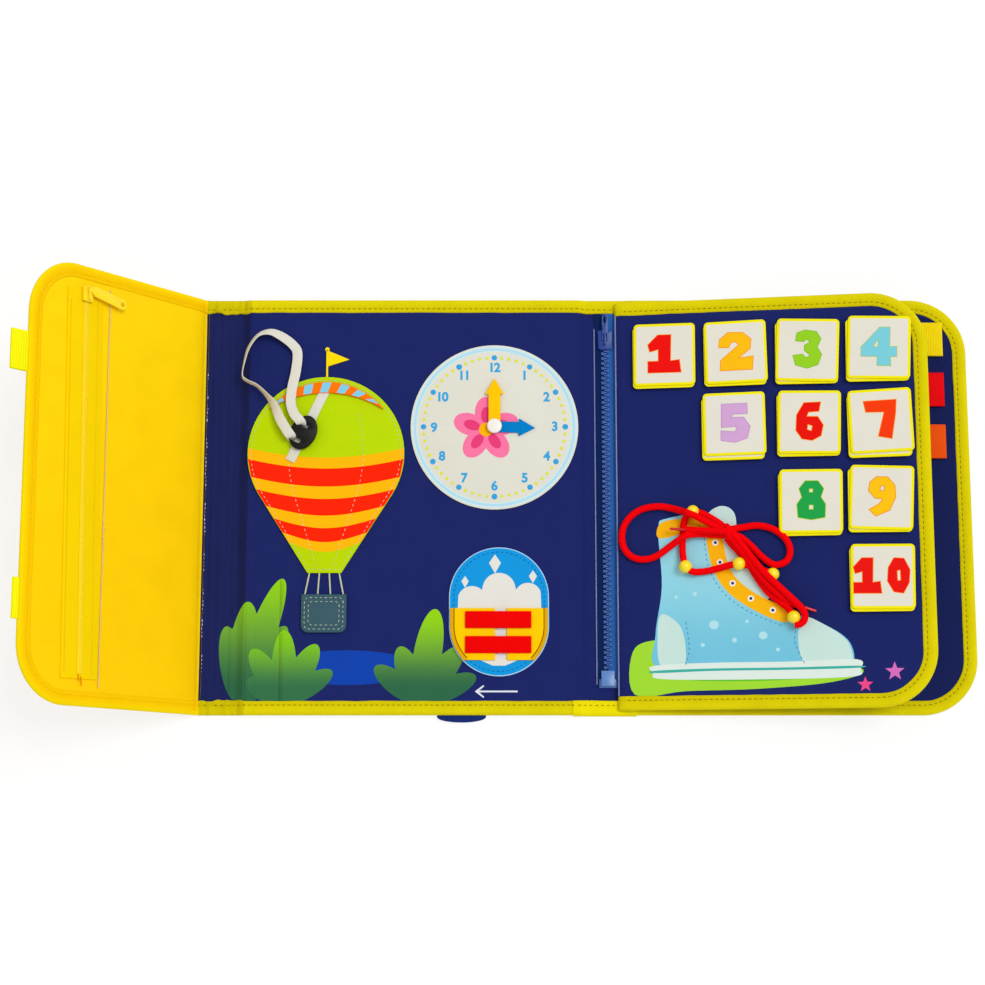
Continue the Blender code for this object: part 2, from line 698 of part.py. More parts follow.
def make_balloon():
    """The felt envelope, its striped crown and the basket."""
    middle = balloon_place(0, 0)
    outline = arc(middle, BALLOON_RADIUS, -BELLY_TURN, math.pi + BELLY_TURN, 4 * WIDE_STEPS)
    mouth = BALLOON_MOUTH_WIDTH / 2
    outline += [balloon_place(-mouth, -BALLOON_MOUTH_DROP), balloon_place(mouth, -BALLOON_MOUTH_DROP)]
    add_piece("balloon_envelope", plate_mesh([outline], FELT_BASE, FELT_TOP), LIME)

    radius = BALLOON_RADIUS - CROWN_INSET
    upper = arc(middle, radius, math.pi / 2 - CROWN_TURN, math.pi / 2 + CROWN_TURN, 2 * WIDE_STEPS)
    half_chord = radius * math.sin(CROWN_TURN)
    chord = radius * math.cos(CROWN_TURN)
    lower_radius = (half_chord**2 + CROWN_SAG**2) / (2 * CROWN_SAG)
    swing = math.asin(half_chord / lower_radius)
    below = balloon_place(0, chord + CROWN_SAG - lower_radius)
    lower = arc(below, lower_radius, math.pi / 2 + swing, math.pi / 2 - swing, WIDE_STEPS)
    crown = add_piece(
        "crown_patch",
        plate_mesh([upper + lower[1:-1]], ELASTIC_BASE, ELASTIC_BASE + CROWN_THICKNESS),
        ORANGE,
    )
    start, end = elastic_line()
    along = (Vector(end) - Vector(start)).normalized() * PLAY
    tuck = bar_outline(start, tuple(Vector(end) + along), ELASTIC_WIDTH + 2 * PLAY)
    combine(crown, plate_mesh([tuck], ELASTIC_BASE - OVERRUN, ELASTIC_TOP + PLAY))

    x, y = balloon_place(0, -BASKET_DROP - PLAY)
    half = BASKET_WIDTH / 2
    basket = rounded_outline(x - half, x + half, y - BASKET_HEIGHT, y, (BASKET_ROUND, BASKET_ROUND, 0, 0))
    add_piece("balloon_basket", plate_mesh([basket], FELT_BASE, FELT_BASE + BASKET_THICKNESS), TEAL)


def make_elastic(slide_carrier):
    """The flat elastic on the felt, the slide that rides on it and the free loop."""
    start, end = elastic_line()
    band = plate_mesh([bar_outline(start, end, ELASTIC_WIDTH)], ELASTIC_BASE, ELASTIC_TOP)
    add_piece("elastic_strap", band, WHITE)

    along = (Vector(end) - Vector(start)).normalized()
    turn = Matrix.Translation((BACK_MIDDLE + SLIDE_X, SLIDE_Y, 0)) @ Matrix.Rotation(
        math.atan2(along.y, along.x), 4, "Z"
    )
    oval = [
        (SLIDE_LENGTH / 2 * math.cos(a), SLIDE_WIDTH / 2 * math.sin(a))
        for a in (2 * math.pi * step / (4 * WIDE_STEPS) for step in range(4 * WIDE_STEPS))
    ]
    slots = []
    half_u, half_v, bend = SLOT_LENGTH / 2, SLOT_WIDTH / 2, SLOT_LENGTH / 4
    for share_u, share_v in SLOT_SHARES:
        u, v = share_u * SLIDE_LENGTH, -share_v * SLIDE_WIDTH
        slots.append(rounded_outline(u - half_u, u + half_u, v - half_v, v + half_v, (bend,) * 4))
    body = plate_mesh([oval] + slots, ELASTIC_BASE, ELASTIC_BASE + SLIDE_THICKNESS)
    slide = add_piece("slide_lock", placed(body, turn), BLACK, PLASTIC)
    half = ELASTIC_WIDTH / 2 + PLAY
    reach = SLIDE_LENGTH / 2 + OVERRUN
    channel = block_mesh((-reach, -half, ELASTIC_BASE - OVERRUN), (reach, half, ELASTIC_TOP + PLAY))
    combine(slide, placed(channel, turn))
    loop = add_piece("elastic_loop", ribbon_mesh(LOOP_ROUTE), WHITE)
    attach(slide, slide_carrier)
    attach(loop, slide_carrier)


def ribbon_mesh(route):
    """A flat band along a route, leaning from flat to edgeways as the route says."""
    points = smooth_route([(BACK_MIDDLE + x, y, FELT_TOP + z, lean) for x, y, z, lean in route], ELASTIC_WIDTH)
    places, leans = [point.xyz for point in points], [point.w for point in points]
    edit = bmesh.new()
    rings = []
    for index, (place, lean) in enumerate(zip(places, leans)):
        ahead = places[min(index + 1, len(places) - 1)] - places[max(index - 1, 0)]
        side = Vector((-ahead.y, ahead.x, 0)).normalized()
        turned = side * math.cos(math.radians(lean)) + Vector((0, 0, math.sin(math.radians(lean))))
        across = turned * ELASTIC_WIDTH / 2
        through = ahead.cross(turned).normalized() * ELASTIC_THICKNESS / 2
        corners = (across + through, through - across, -across - through, across - through)
        rings.append([edit.verts.new(place + corner) for corner in corners])
    for first, second in zip(rings, rings[1:]):
        for corner in range(4):
            after = (corner + 1) % 4
            edit.faces.new((first[corner], first[after], second[after], second[corner]))
    edit.faces.new(rings[0])
    edit.faces.new(rings[-1])
    mesh = bpy.data.meshes.new("ribbon")
    edit.to_mesh(mesh)
    edit.free()
    return tidy_mesh(mesh)


def hand_mesh(reach, shaft, head, base):
    """A clock hand: an arrow along +Y with a round eye at the post."""
    half, tip = shaft / 2, head / 2
    shoulder = reach - HEAD_LENGTH
    outline = arc((0, 0), half, math.pi, 2 * math.pi, 2 * NARROW_STEPS)
    outline += [(half, shoulder), (tip, shoulder), (0, reach), (-tip, shoulder), (-half, shoulder)]
    eye = arc((0, 0), POST_RADIUS + PLAY, 0, 2 * math.pi, PIN_STEPS)[:-1]
    return plate_mesh([outline, eye], base, base + HAND_THICKNESS)


def make_clock(hour_carrier, minute_carrier):
    """The felt dial, its post and the two hands."""
    middle = (BACK_MIDDLE + CLOCK_X, CLOCK_Y)
    rim = arc(middle, CLOCK_RADIUS, 0, 2 * math.pi, DISC_STEPS)[:-1]
    hole = arc(middle, POST_RADIUS + PLAY, 0, 2 * math.pi, PIN_STEPS)[:-1]
    dial_top = FELT_BASE + DIAL_THICKNESS
    add_piece("clock_dial", plate_mesh([rim, hole], FELT_BASE, dial_top), WHITE)

    hour_base = dial_top + PLAY
    minute_base = hour_base + HAND_THICKNESS + PLAY
    head_base = minute_base + HAND_THICKNESS + PLAY
    crown = head_base + POST_HEAD_HEIGHT
    brow = POST_HEAD_RADIUS - POST_HEAD_HEIGHT / 2
    profile = [
        (0, crown), (brow, crown), (POST_HEAD_RADIUS, crown - POST_HEAD_HEIGHT / 2),
        (POST_HEAD_RADIUS, head_base), (POST_RADIUS, head_base), (POST_RADIUS, FELT_BASE), (0, FELT_BASE),
    ]
    post = turned_mesh(profile, (*middle, 0), PIN_STEPS)
    add_piece("clock_post", post, WHITE, PLASTIC)

    at_post = Matrix.Translation((*middle, 0))
    minute = placed(hand_mesh(MINUTE_REACH, MINUTE_SHAFT, MINUTE_HEAD, minute_base), at_post)
    attach(add_piece("minute_hand", minute, SUN, PLASTIC), minute_carrier)
    turned = at_post @ Matrix.Rotation(HOUR_TURN, 4, "Z")
    hour = placed(hand_mesh(HOUR_REACH, HOUR_SHAFT, HOUR_HEAD, hour_base), turned)
    attach(add_piece("hour_hand", hour, SKY, PLASTIC), hour_carrier)


def shoe_sizes():
    """Left, right, bottom and top of the sandal patch."""
    x, y = BACK_MIDDLE + SHOE_X, SHOE_Y
    return x - SHOE_WIDTH / 2, x + SHOE_WIDTH / 2, y - SHOE_HEIGHT / 2, y + SHOE_HEIGHT / 2


def make_sandal(left_carrier, strap_carriers):
    """The sandal patch: two side flaps sewn at their outer edges, and two straps over them."""
    left, right, bottom, top = shoe_sizes()
    curve = SHOE_WIDTH / 2
    patch = rounded_outline(left, right, bottom, top, (curve,) * 4, WIDE_STEPS)
    add_piece("shoe_patch", plate_mesh([patch], FELT_BASE, FELT_TOP), SKY)

    flap_base = FELT_TOP + PLAY
    flap_top = flap_base + SHOE_FLAP_THICKNESS
    high = SHOE_Y + SHOE_FLAP_TOP
    low = high - SHOE_FLAP_HEIGHT
    turn = curve - SHOE_FLAP_INSET - (low - bottom) / 2
    outer_left, outer_right = left + SHOE_FLAP_INSET, right - SHOE_FLAP_INSET
    inner_left = outer_left + SHOE_LEFT_WIDTH
    inner_right = inner_left + SHOE_FLAP_GAP
    near_turn, far_turn = min(turn, inner_left - outer_left), min(turn, outer_right - inner_right)
    near = rounded_outline(outer_left, inner_left, low, high, (near_turn, 0, 0, 0), WIDE_STEPS)
    far = rounded_outline(inner_right, outer_right, low, high, (0, far_turn, 0, 0), WIDE_STEPS)
    flap = add_piece("shoe_flap_left", plate_mesh([near], flap_base, flap_top), SUN)
    attach(flap, left_carrier)
    add_piece("shoe_flap_right", plate_mesh([far], flap_base, flap_top), SUN)

    strap_base = flap_top + PLAY
    start = outer_left + SHOE_STRAP_INSET
    for index, (name, carrier) in enumerate(strap_carriers.items()):
        upper = high - SHOE_STRAP_DROP - index * SHOE_STRAP_PITCH
        corner = SHOE_STRAP_THICKNESS / 2
        outline = rounded_outline(
            start, start + SHOE_STRAP_LENGTH, upper - SHOE_STRAP_WIDTH, upper, (corner,) * 4
        )
        mesh = plate_mesh([outline], strap_base, strap_base + SHOE_STRAP_THICKNESS)
        attach(add_piece(name, mesh, RED), carrier)


def make_flap(carrier, slant, slider_carrier, pull_carrier):
    """The closing flap with its clear pocket, its coil zip and two webbing tabs."""
    leaf = Leaf(
        FLAP_FOLD - FLAP_LENGTH, FLAP_FOLD - PLAY, LEAF_HEIGHT, 0.0, LEAF_THICKNESS, CORNER_RADIUS, False, True
    )
    attach(bound_sheet("flap_panel", leaf, FLAP_YELLOW), carrier)
    attach(binding("flap_binding", leaf, FLAP_YELLOW), carrier)

    edge = leaf.left - PLAY
    for name, middle, reach in (
        ("closure_tab_upper", UPPER_TAB_Y, TAB_REACH),
        ("closure_tab_lower", LOWER_TAB_Y, LOWER_TAB_REACH),
    ):
        attach(webbing_loop(name, edge, leaf.left - reach, middle, TAB_WIDTH, TAB_BASE, SUN), carrier)

    base = LEAF_THICKNESS + PLAY
    window = rounded_outline(
        FLAP_FOLD - WINDOW_FAR, FLAP_FOLD - WINDOW_NEAR, -WINDOW_HEIGHT / 2, WINDOW_HEIGHT / 2, (0, 0, 0, 0)
    )
    sheet = plate_mesh([window], base, base + WINDOW_THICKNESS)
    attach(add_piece("pocket_window", sheet, SUN, CLEAR, 0.5), carrier)
    make_coil_zip(base, slant, slider_carrier, pull_carrier)


def make_coil_zip(base, slant, slider_carrier, pull_carrier):
    """The flap's coil zip: tape, closed coil, slider and long pull."""
    middle = FLAP_FOLD - FLAP_ZIP_X
    reach = FLAP_TAPE_LENGTH / 2
    half = FLAP_TAPE_WIDTH / 2
    tape = block_mesh((middle - half, -reach, base), (middle + half, reach, base + FLAP_TAPE))
    attach(add_piece("flap_zip_tape", tape, FLAP_YELLOW), slant)

    low = base + FLAP_TAPE + PLAY
    half = COIL_WIDTH / 2
    bend = COIL_HEIGHT / 2
    ridge = rounded_outline(middle - half, middle + half, low, low + COIL_HEIGHT, (0, 0, bend, bend))
    coil = plate_mesh([ridge], COIL_BOTTOM, COIL_TOP, upright=True)
    attach(add_piece("flap_zip_coil", coil, FLAP_YELLOW, PLASTIC), slant)

    slider = slider_mesh(
        middle, COIL_SLIDER_Y, low, COIL_HEIGHT, COIL_SLIDER_LENGTH, COIL_SLIDER_WIDTH, COIL_SLIDER_WIDTH
    )
    attach(add_piece("flap_zip_slider", slider, FLAP_YELLOW, PLASTIC), slider_carrier)
    height = pull_height(low, COIL_HEIGHT)
    pull = long_pull_mesh(COIL_PULL_LENGTH, COIL_PULL_WIDTH, height)
    turn = Matrix.Translation((middle, COIL_SLIDER_Y + BRIDGE_LEG_Y, 0)) @ Matrix.Rotation(COIL_PULL_TURN, 4, "Z")
    attach(add_piece("flap_zip_pull", placed(pull, turn), FLAP_YELLOW, PLASTIC), pull_carrier)


def pull_height(chain_base, chain_height):
    """Height of the bar that a zip pull turns on."""
    return chain_base + chain_height + PLAY + SLIDER_PLATE + BRIDGE_OPENING / 2


def slider_mesh(x, y, chain_base, chain_height, length, width, tail_width):
    """A zip slider: a plate with two skirts over the chain, and a bridge for the pull."""
    under = chain_base + chain_height + PLAY
    top = under + SLIDER_PLATE
    skirt = chain_base + chain_height - SLIDER_SKIRT
    back, front = y - length / 2, y + length / 2
    corner = SLIDER_WALL * 2
    outline = rounded_outline(x - width / 2, x + width / 2, back, front, (corner,) * 4)
    taper = (width - tail_width) / 2
    outline = [(px + math.copysign(taper * (front - py) / length, x - px), py) for px, py in outline]
    body = add_piece("slider_body", plate_mesh([outline], skirt, top), BLACK)
    half = tail_width / 2 - SLIDER_WALL
    combine(body, block_mesh((x - half, back - OVERRUN, skirt - OVERRUN), (x + half, front + OVERRUN, under)))
    reach = BRIDGE_LENGTH / 2
    arch_top = top + BRIDGE_OPENING + BRIDGE_WALL
    inner = reach - BRIDGE_WALL
    legs = [(-reach, top - SLIDER_PLATE / 2), (-reach, arch_top), (reach, arch_top), (reach, top - SLIDER_PLATE / 2)]
    legs += [(inner, top - SLIDER_PLATE / 2), (inner, top + BRIDGE_OPENING)]
    legs += [(-inner, top + BRIDGE_OPENING), (-inner, top - SLIDER_PLATE / 2)]
    arch = plate_mesh([legs], -BRIDGE_WIDTH / 2, BRIDGE_WIDTH / 2, upright=True)
    combine(body, placed(arch, Matrix.Translation((x, y, 0)) @ Matrix.Rotation(math.pi / 2, 4, "Z")), "UNION")
    return settled(body)


def settled(piece):
    """The mesh of a helper piece with its modifiers worked out; the piece and its cutters go."""
    bpy.context.view_layer.update()
    evaluated = piece.evaluated_get(bpy.context.evaluated_depsgraph_get())
    mesh = bpy.data.meshes.new_from_object(evaluated)
    mesh.materials.clear()
    for tool in [m.object for m in piece.modifiers if m.type == "BOOLEAN"] + [piece]:
        bpy.data.objects.remove(tool, do_unlink=True)
    return tidy_mesh(mesh)


def pull_mesh(length, width, height):
    """A zip pull along +Y: an eye round the bridge, a waist and a tab with a hole."""
    eye, outer = PULL_EYE / 2, PULL_WIDTH / 2
    bar = PULL_BAR / 2
    eye_end = BRIDGE_LENGTH / 2 + PLAY
    shoulder = eye_end + PULL_BAR * 2
    tip = width / 2
    tab = arc((0, length - tip), tip, 0, math.pi, 2 * NARROW_STEPS)
    outline = [(-outer, -bar), (outer, -bar), (outer, shoulder - PULL_BAR)]
    outline += [(tip, shoulder + PULL_BAR)] + tab + [(-tip, shoulder + PULL_BAR), (-outer, shoulder - PULL_BAR)]
    opening = rounded_outline(-eye, eye, bar, eye_end, (0, 0, PULL_BAR, PULL_BAR))
    hole_half = tip / 2
    hole_top = length - tip
    hole = rounded_outline(-hole_half, hole_half, hole_top - PULL_SLOT_LENGTH, hole_top, (hole_half,) * 4)
    low = height - PULL_THICKNESS / 2
    return plate_mesh([outline, opening, hole], low, low + PULL_THICKNESS)


def long_pull_mesh(length, width, height):
    """A long soft pull along +Y, whose round eye turns on one leg of the slider's bridge."""
    inner = math.hypot(BRIDGE_WIDTH, BRIDGE_WALL) / 2 + PLAY
    outer = inner + EYE_WALL
    tip = width / 2
    join = math.pi / 2 - EYE_NECK_TURN
    ring = arc((0, 0), outer, math.pi - join, 2 * math.pi + join, 3 * NARROW_STEPS)
    end = arc((0, length - tip), tip, 0, math.pi, 2 * NARROW_STEPS)
    outline = ring + [(tip, outer + tip)] + end + [(-tip, outer + tip)]
    eye = arc((0, 0), inner, 0, 2 * math.pi, PIN_STEPS)[:-1]
    hole = arc((0, length - tip), tip / 2, 0, 2 * math.pi, 2 * NARROW_STEPS)[:-1]
    low = height - PULL_THICKNESS / 2
    return plate_mesh([outline, eye, hole], low, low + PULL_THICKNESS)


def tooth_mesh(side, place):
    """One zip tooth: a wide root on the tape and a narrow head across the middle line."""
    root, head = TOOTH_ROOT / 2, TOOTH_HEAD / 2
    outer, neck, tip = side * TOOTH_HALF_SPAN, side * TOOTH_NECK, -side * TOOTH_OVERLAP
    x = SPINE_MIDDLE
    outline = [
        (x + outer, place - root), (x + neck, place - root), (x + neck, place - head), (x + tip, place - head),
        (x + tip, place + head), (x + neck, place + head), (x + neck, place + root), (x + outer, place + root),
    ]
    low = TAPE_TOP - TOOTH_SINK
    return plate_mesh([outline], low, low + TOOTH_HEIGHT)


def make_spine_zip(carrier, slider_carrier, pull_carrier):
    """The chunky zip on the spine: two toothed tapes, the box, the slider and its pull."""
    count = int((ZIP_TOP - ZIP_BOTTOM) / TOOTH_PITCH)
    reach = HALF_HEIGHT - BINDING_WIDTH
    for name, side in (("left", -1), ("right", 1)):
        outer = SPINE_MIDDLE + side * ZIP_TAPE_WIDTH / 2
        inner = SPINE_MIDDLE + side * (TOOTH_NECK + TOOTH_ROOT / 2)
        low, high = sorted((outer, inner))
        tape = add_piece(f"spine_zip_{name}", block_mesh((low, -reach, TAPE_BASE), (high, reach, TAPE_TOP)), DEEP_BLUE)
        shift = TOOTH_PITCH / 2 if side > 0 else 0
        first = ZIP_BOTTOM + TOOTH_PITCH / 2 + shift
        one = tooth_mesh(side, 0)
        row = [placed(one, Matrix.Translation((0, first + i * TOOTH_PITCH, 0))) for i in range(count)]
        combine(tape, gathered(row), "UNION")
        attach(tape, carrier)

    chain_base = TAPE_TOP - TOOTH_SINK
    length = ZIP_BOX_LENGTH
    half = ZIP_BOX_WIDTH / 2
    top = ZIP_BOTTOM - PLAY
    corner = SLIDER_WALL
    outline = rounded_outline(SPINE_MIDDLE - half, SPINE_MIDDLE + half, top - length, top, (corner,) * 4)
    box = plate_mesh([outline], TAPE_TOP + PLAY, TAPE_TOP + PLAY + ZIP_BOX_HEIGHT)
    attach(add_piece("spine_zip_box", box, DEEP_BLUE, PLASTIC), carrier)

    slider = slider_mesh(
        SPINE_MIDDLE, SLIDER_Y, chain_base, TOOTH_HEIGHT, SLIDER_LENGTH, SLIDER_WIDTH, SLIDER_TAIL_WIDTH
    )
    attach(add_piece("spine_zip_slider", slider, DEEP_BLUE, PLASTIC), slider_carrier)
    pull = pull_mesh(PULL_LENGTH, PULL_WIDTH, pull_height(chain_base, TOOTH_HEIGHT))
    place = Matrix.Translation((SPINE_MIDDLE, SLIDER_Y, 0))
    attach(add_piece("spine_zip_pull", placed(pull, place), DEEP_BLUE, PLASTIC), pull_carrier)


def make_cover(carrier):
    """The front cover and the three webbing loops on its inside."""
    leaf = Leaf(
        COVER_FOLD + PLAY, COVER_EDGE, LEAF_HEIGHT, 0.0, LEAF_THICKNESS, CORNER_RADIUS, True, False
    )
    attach(bound_sheet("cover_panel", leaf, NAVY), carrier)
    attach(binding("cover_binding", leaf, BINDING_YELLOW), carrier)
    far = COVER_EDGE - LOOP_EDGE_GAP
    base = LEAF_THICKNESS + PLAY
    for name, middle, colour in (
        ("webbing_loop_yellow", YELLOW_LOOP_Y, SUN),
        ("webbing_loop_red", RED_LOOP_Y, RED),
        ("webbing_loop_orange", ORANGE_LOOP_Y, ORANGE),
    ):
        attach(webbing_loop(name, far - LOOP_LENGTH, far, middle, LOOP_WIDTH, base, colour), carrier)


def tile_places():
    """Middle and turn of each number tile: four, three, two and one in rows, flush right."""
    places = []
    for row in TILE_ROWS:
        for column in range(row if row < 3 else 3, 4):
            places.append((PAGE_FOLD + TILE_FIRST_X + column * TILE_PITCH_X, TILE_FIRST_Y - row * TILE_PITCH_Y))
    return [(x, y, math.radians(turn)) for (x, y), turn in zip(places, TILE_TURNS)]


def make_tiles(sheet, tile_carriers):
    """Ten square tiles, each on its own raised pad of the page's sheet."""
    half_width, half_height = TILE_WIDTH / 2, TILE_HEIGHT / 2
    square = rounded_outline(-half_width, half_width, -half_height, half_height, (TILE_ROUND,) * 4)
    pad_width, pad_height = half_width - PAD_INSET, half_height - PAD_INSET
    pad = rounded_outline(-pad_width, pad_width, -pad_height, pad_height, (0, 0, 0, 0))
    for (x, y, turn), carrier in zip(tile_places(), tile_carriers):
        at = Matrix.Translation((x, y, 0))
        combine(sheet, placed(plate_mesh([pad], PAGE_BASE + PAD_THICKNESS, PAD_TOP), at), "UNION")
        tile = plate_mesh([square], TILE_BASE, TILE_BASE + TILE_THICKNESS)
        tile = placed(tile, at @ Matrix.Rotation(turn, 4, "Z"))
        attach(add_piece(carrier.name.replace("_lift", ""), tile, CREAM), carrier)


def make_lacing(carrier):
    """Five round studs sewn to the page, and the lace that winds between them to its bow."""
    ball = STUD_LIFT + STUD_RADIUS
    steps = 2 * NARROW_STEPS
    start = math.asin(STUD_NECK / STUD_RADIUS)
    profile = [(0, ball + STUD_RADIUS)]
    for step in range(1, steps + 1):
        angle = (math.pi - start) * step / steps
        profile.append((STUD_RADIUS * math.sin(angle), ball + STUD_RADIUS * math.cos(angle)))
    profile += [(STUD_NECK, PLAY), (0, PLAY)]
    for index, (across, up) in enumerate(STUD_SHARES, 1):
        place = (PAGE_FOLD + across * PAGE_WIDTH, up * PAGE_HEIGHT / 2, PAGE_TOP)
        attach(add_piece(f"lacing_stud_{index}", turned_mesh(profile, place, PIN_STEPS), SUN, PLASTIC), carrier)

    strands = []
    for name, route in LACE_ROUTES.items():
        points = smooth_route([(PAGE_FOLD + x, y, PAGE_TOP + z) for x, y, z in route], 4 * LACE_RADIUS)
        strands.append(tube_mesh(points, LACE_RADIUS))
        if name.endswith("tail"):
            along = points[-1] - points[-2]
            along.z = max(along.z, 0)
            along.normalize()
            tip = [points[-1] - along * LACE_RADIUS, points[-1] + along * TIP_LENGTH]
            strands.append(tube_mesh(tip, TIP_RADIUS))
    x, y = KNOT_PLACE
    half = Vector((KNOT_LENGTH, KNOT_WIDTH, KNOT_HEIGHT)) / 2
    middle = Matrix.Translation((PAGE_FOLD + x, y, PAGE_TOP + PLAY + half.z))
    edit = bmesh.new()
    bmesh.ops.create_uvsphere(
        edit, u_segments=PIN_STEPS, v_segments=steps, radius=1, matrix=middle @ Matrix.Diagonal((*half, 1))
    )
    knot = bpy.data.meshes.new("knot")
    edit.to_mesh(knot)
    edit.free()
    lace = add_piece("lace", knot, RED)
    for strand in strands:
        combine(lace, strand, "UNION")
    attach(lace, carrier)


def make_page(carrier, tile_carriers):
    """The inner page with its tiles and lacing."""
    leaf = Leaf(
        PAGE_FOLD, PAGE_FOLD + PAGE_WIDTH, PAGE_HEIGHT, PAGE_BASE, LEAF_THICKNESS, CORNER_RADIUS, True, False
    )
    sheet = bound_sheet("page_panel", leaf, NAVY)
    make_tiles(sheet, tile_carriers)
    attach(sheet, carrier)
    attach(binding("page_binding", leaf, BINDING_YELLOW), carrier)
    make_lacing(carrier)


def build():
    """Make every piece lying flat on its carrier, then raise the flap and the page."""
    clear_scene()
    gusset = pivot("gusset_fold", (GUSSET_FOLD, 0, FABRIC))
    flap = pivot("flap_fold", (FLAP_FOLD, 0, FABRIC), gusset)
    spine = pivot("spine_fold", (SPINE_FOLD, 0, FABRIC))
    cover = pivot("cover_fold", (COVER_FOLD, 0, FABRIC), spine)
    page = pivot("page_turn", (PAGE_FOLD, 0, PAGE_TOP), cover)

    chain_base = TAPE_TOP - TOOTH_SINK
    bar = pull_height(chain_base, TOOTH_HEIGHT)
    slider = pivot("spine_zip_slide", (SPINE_MIDDLE, SLIDER_Y, chain_base), spine)
    pull = pivot("spine_pull_swing", (SPINE_MIDDLE, SLIDER_Y, bar), slider)

    coil_base = LEAF_THICKNESS + PLAY + FLAP_TAPE + PLAY
    coil_bar = pull_height(coil_base, COIL_HEIGHT)
    zip_x = FLAP_FOLD - FLAP_ZIP_X
    slant = pivot("flap_zip_slant", (zip_x, 0, coil_base), flap)
    coil_slider = pivot("flap_zip_slide", (zip_x, COIL_SLIDER_Y, coil_base), slant)
    coil_pull = pivot("flap_pull_swing", (zip_x, COIL_SLIDER_Y + BRIDGE_LEG_Y, coil_bar), coil_slider)

    post = (BACK_MIDDLE + CLOCK_X, CLOCK_Y, FELT_BASE)
    hour, minute = pivot("hour_turn", post), pivot("minute_turn", post)
    slide = pivot("slide_travel", (BACK_MIDDLE + SLIDE_X, SLIDE_Y, ELASTIC_BASE))

    shoe_left, _, _, _ = shoe_sizes()
    flap_base = FELT_TOP + PLAY
    hinge = shoe_left + SHOE_FLAP_INSET
    shoe_flap = pivot("shoe_flap_turn", (hinge, SHOE_Y, flap_base))
    strap_top = flap_base + SHOE_FLAP_THICKNESS + PLAY + SHOE_STRAP_THICKNESS
    sewn = (hinge + SHOE_STRAP_INSET, SHOE_Y, strap_top)
    straps = {name: pivot(f"{name}_turn", sewn, shoe_flap) for name in ("shoe_strap_upper", "shoe_strap_lower")}

    tiles = [
        pivot(f"number_tile_{index}_lift", (x, y, TILE_BASE), page)
        for index, (x, y, _) in enumerate(tile_places(), 1)
    ]

    make_back_panel()
    make_balloon()
    make_elastic(slide)
    make_clock(hour, minute)
    make_sandal(shoe_flap, straps)
    strip("gusset_strip", FLAP_FOLD, GUSSET_FOLD, gusset)
    make_flap(flap, slant, coil_slider, coil_pull)
    strip("spine_strip", SPINE_FOLD, COVER_FOLD, spine)
    make_spine_zip(spine, slider, pull)
    make_cover(cover)
    make_page(page, tiles)

    slant.rotation_euler.z = FLAP_ZIP_SLANT
    flap.rotation_euler.y = FLAP_RAISE
    page.rotation_euler.y = -PAGE_RAISE
    bpy.context.view_layer.update()


build()
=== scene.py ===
"""Looks of an open busy board backpack: cloth, tape, felt, zips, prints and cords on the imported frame."""

import json
import logging
import math
from dataclasses import dataclass, field, replace
from enum import Enum
from typing import Callable, Iterable, Sequence

import bmesh
import bpy
from mathutils import Matrix, Vector, noise


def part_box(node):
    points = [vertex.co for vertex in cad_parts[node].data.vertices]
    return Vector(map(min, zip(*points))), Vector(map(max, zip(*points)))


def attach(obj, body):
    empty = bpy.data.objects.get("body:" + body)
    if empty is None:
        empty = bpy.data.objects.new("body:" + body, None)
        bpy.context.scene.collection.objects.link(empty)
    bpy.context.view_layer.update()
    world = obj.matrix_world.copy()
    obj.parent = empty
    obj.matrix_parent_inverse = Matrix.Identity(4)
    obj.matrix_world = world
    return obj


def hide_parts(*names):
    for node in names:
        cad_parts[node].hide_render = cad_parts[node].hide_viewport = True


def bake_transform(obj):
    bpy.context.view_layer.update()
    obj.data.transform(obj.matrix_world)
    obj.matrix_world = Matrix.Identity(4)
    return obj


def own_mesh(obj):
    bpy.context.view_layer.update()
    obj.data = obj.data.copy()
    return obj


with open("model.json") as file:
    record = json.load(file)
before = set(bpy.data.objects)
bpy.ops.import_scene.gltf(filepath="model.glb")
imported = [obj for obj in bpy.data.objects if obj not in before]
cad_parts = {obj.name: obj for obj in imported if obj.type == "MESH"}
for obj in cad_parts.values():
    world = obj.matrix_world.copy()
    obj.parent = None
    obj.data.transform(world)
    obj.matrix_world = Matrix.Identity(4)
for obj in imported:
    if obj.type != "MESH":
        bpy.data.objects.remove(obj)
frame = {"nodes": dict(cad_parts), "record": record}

Point = tuple[float, float]
Place = tuple[float, float, float]
Colour = tuple[float, float, float]
Loop = list[Point]
Mesh = bpy.types.Mesh
Piece = bpy.types.Object
Socket = bpy.types.NodeSocket

LOG = logging.getLogger("backpack")
UV_NAME = "flat"
PRINT = 0.00005


def tint(red: int, green: int, blue: int) -> Colour:
    """Turn a colour from 0 to 255, as a screen shows it, into linear light."""
    shares = [level / 255 for level in (red, green, blue)]
    return tuple(s / 12.92 if s <= 0.04045 else ((s + 0.055) / 1.055) ** 2.4 for s in shares)


class Grain(Enum):
    """Fine relief that a finish shows."""

    WEAVE = "weave"
    RIB = "rib"
    TWILL = "twill"
    FELT = "felt"
    SATIN = "satin"
    BRAID = "braid"
    MOULDED = "moulded"


class Side(Enum):
    """The free side of a leaf, whose corners are round."""

    NONE = 0
    LEFT = -1
    RIGHT = 1


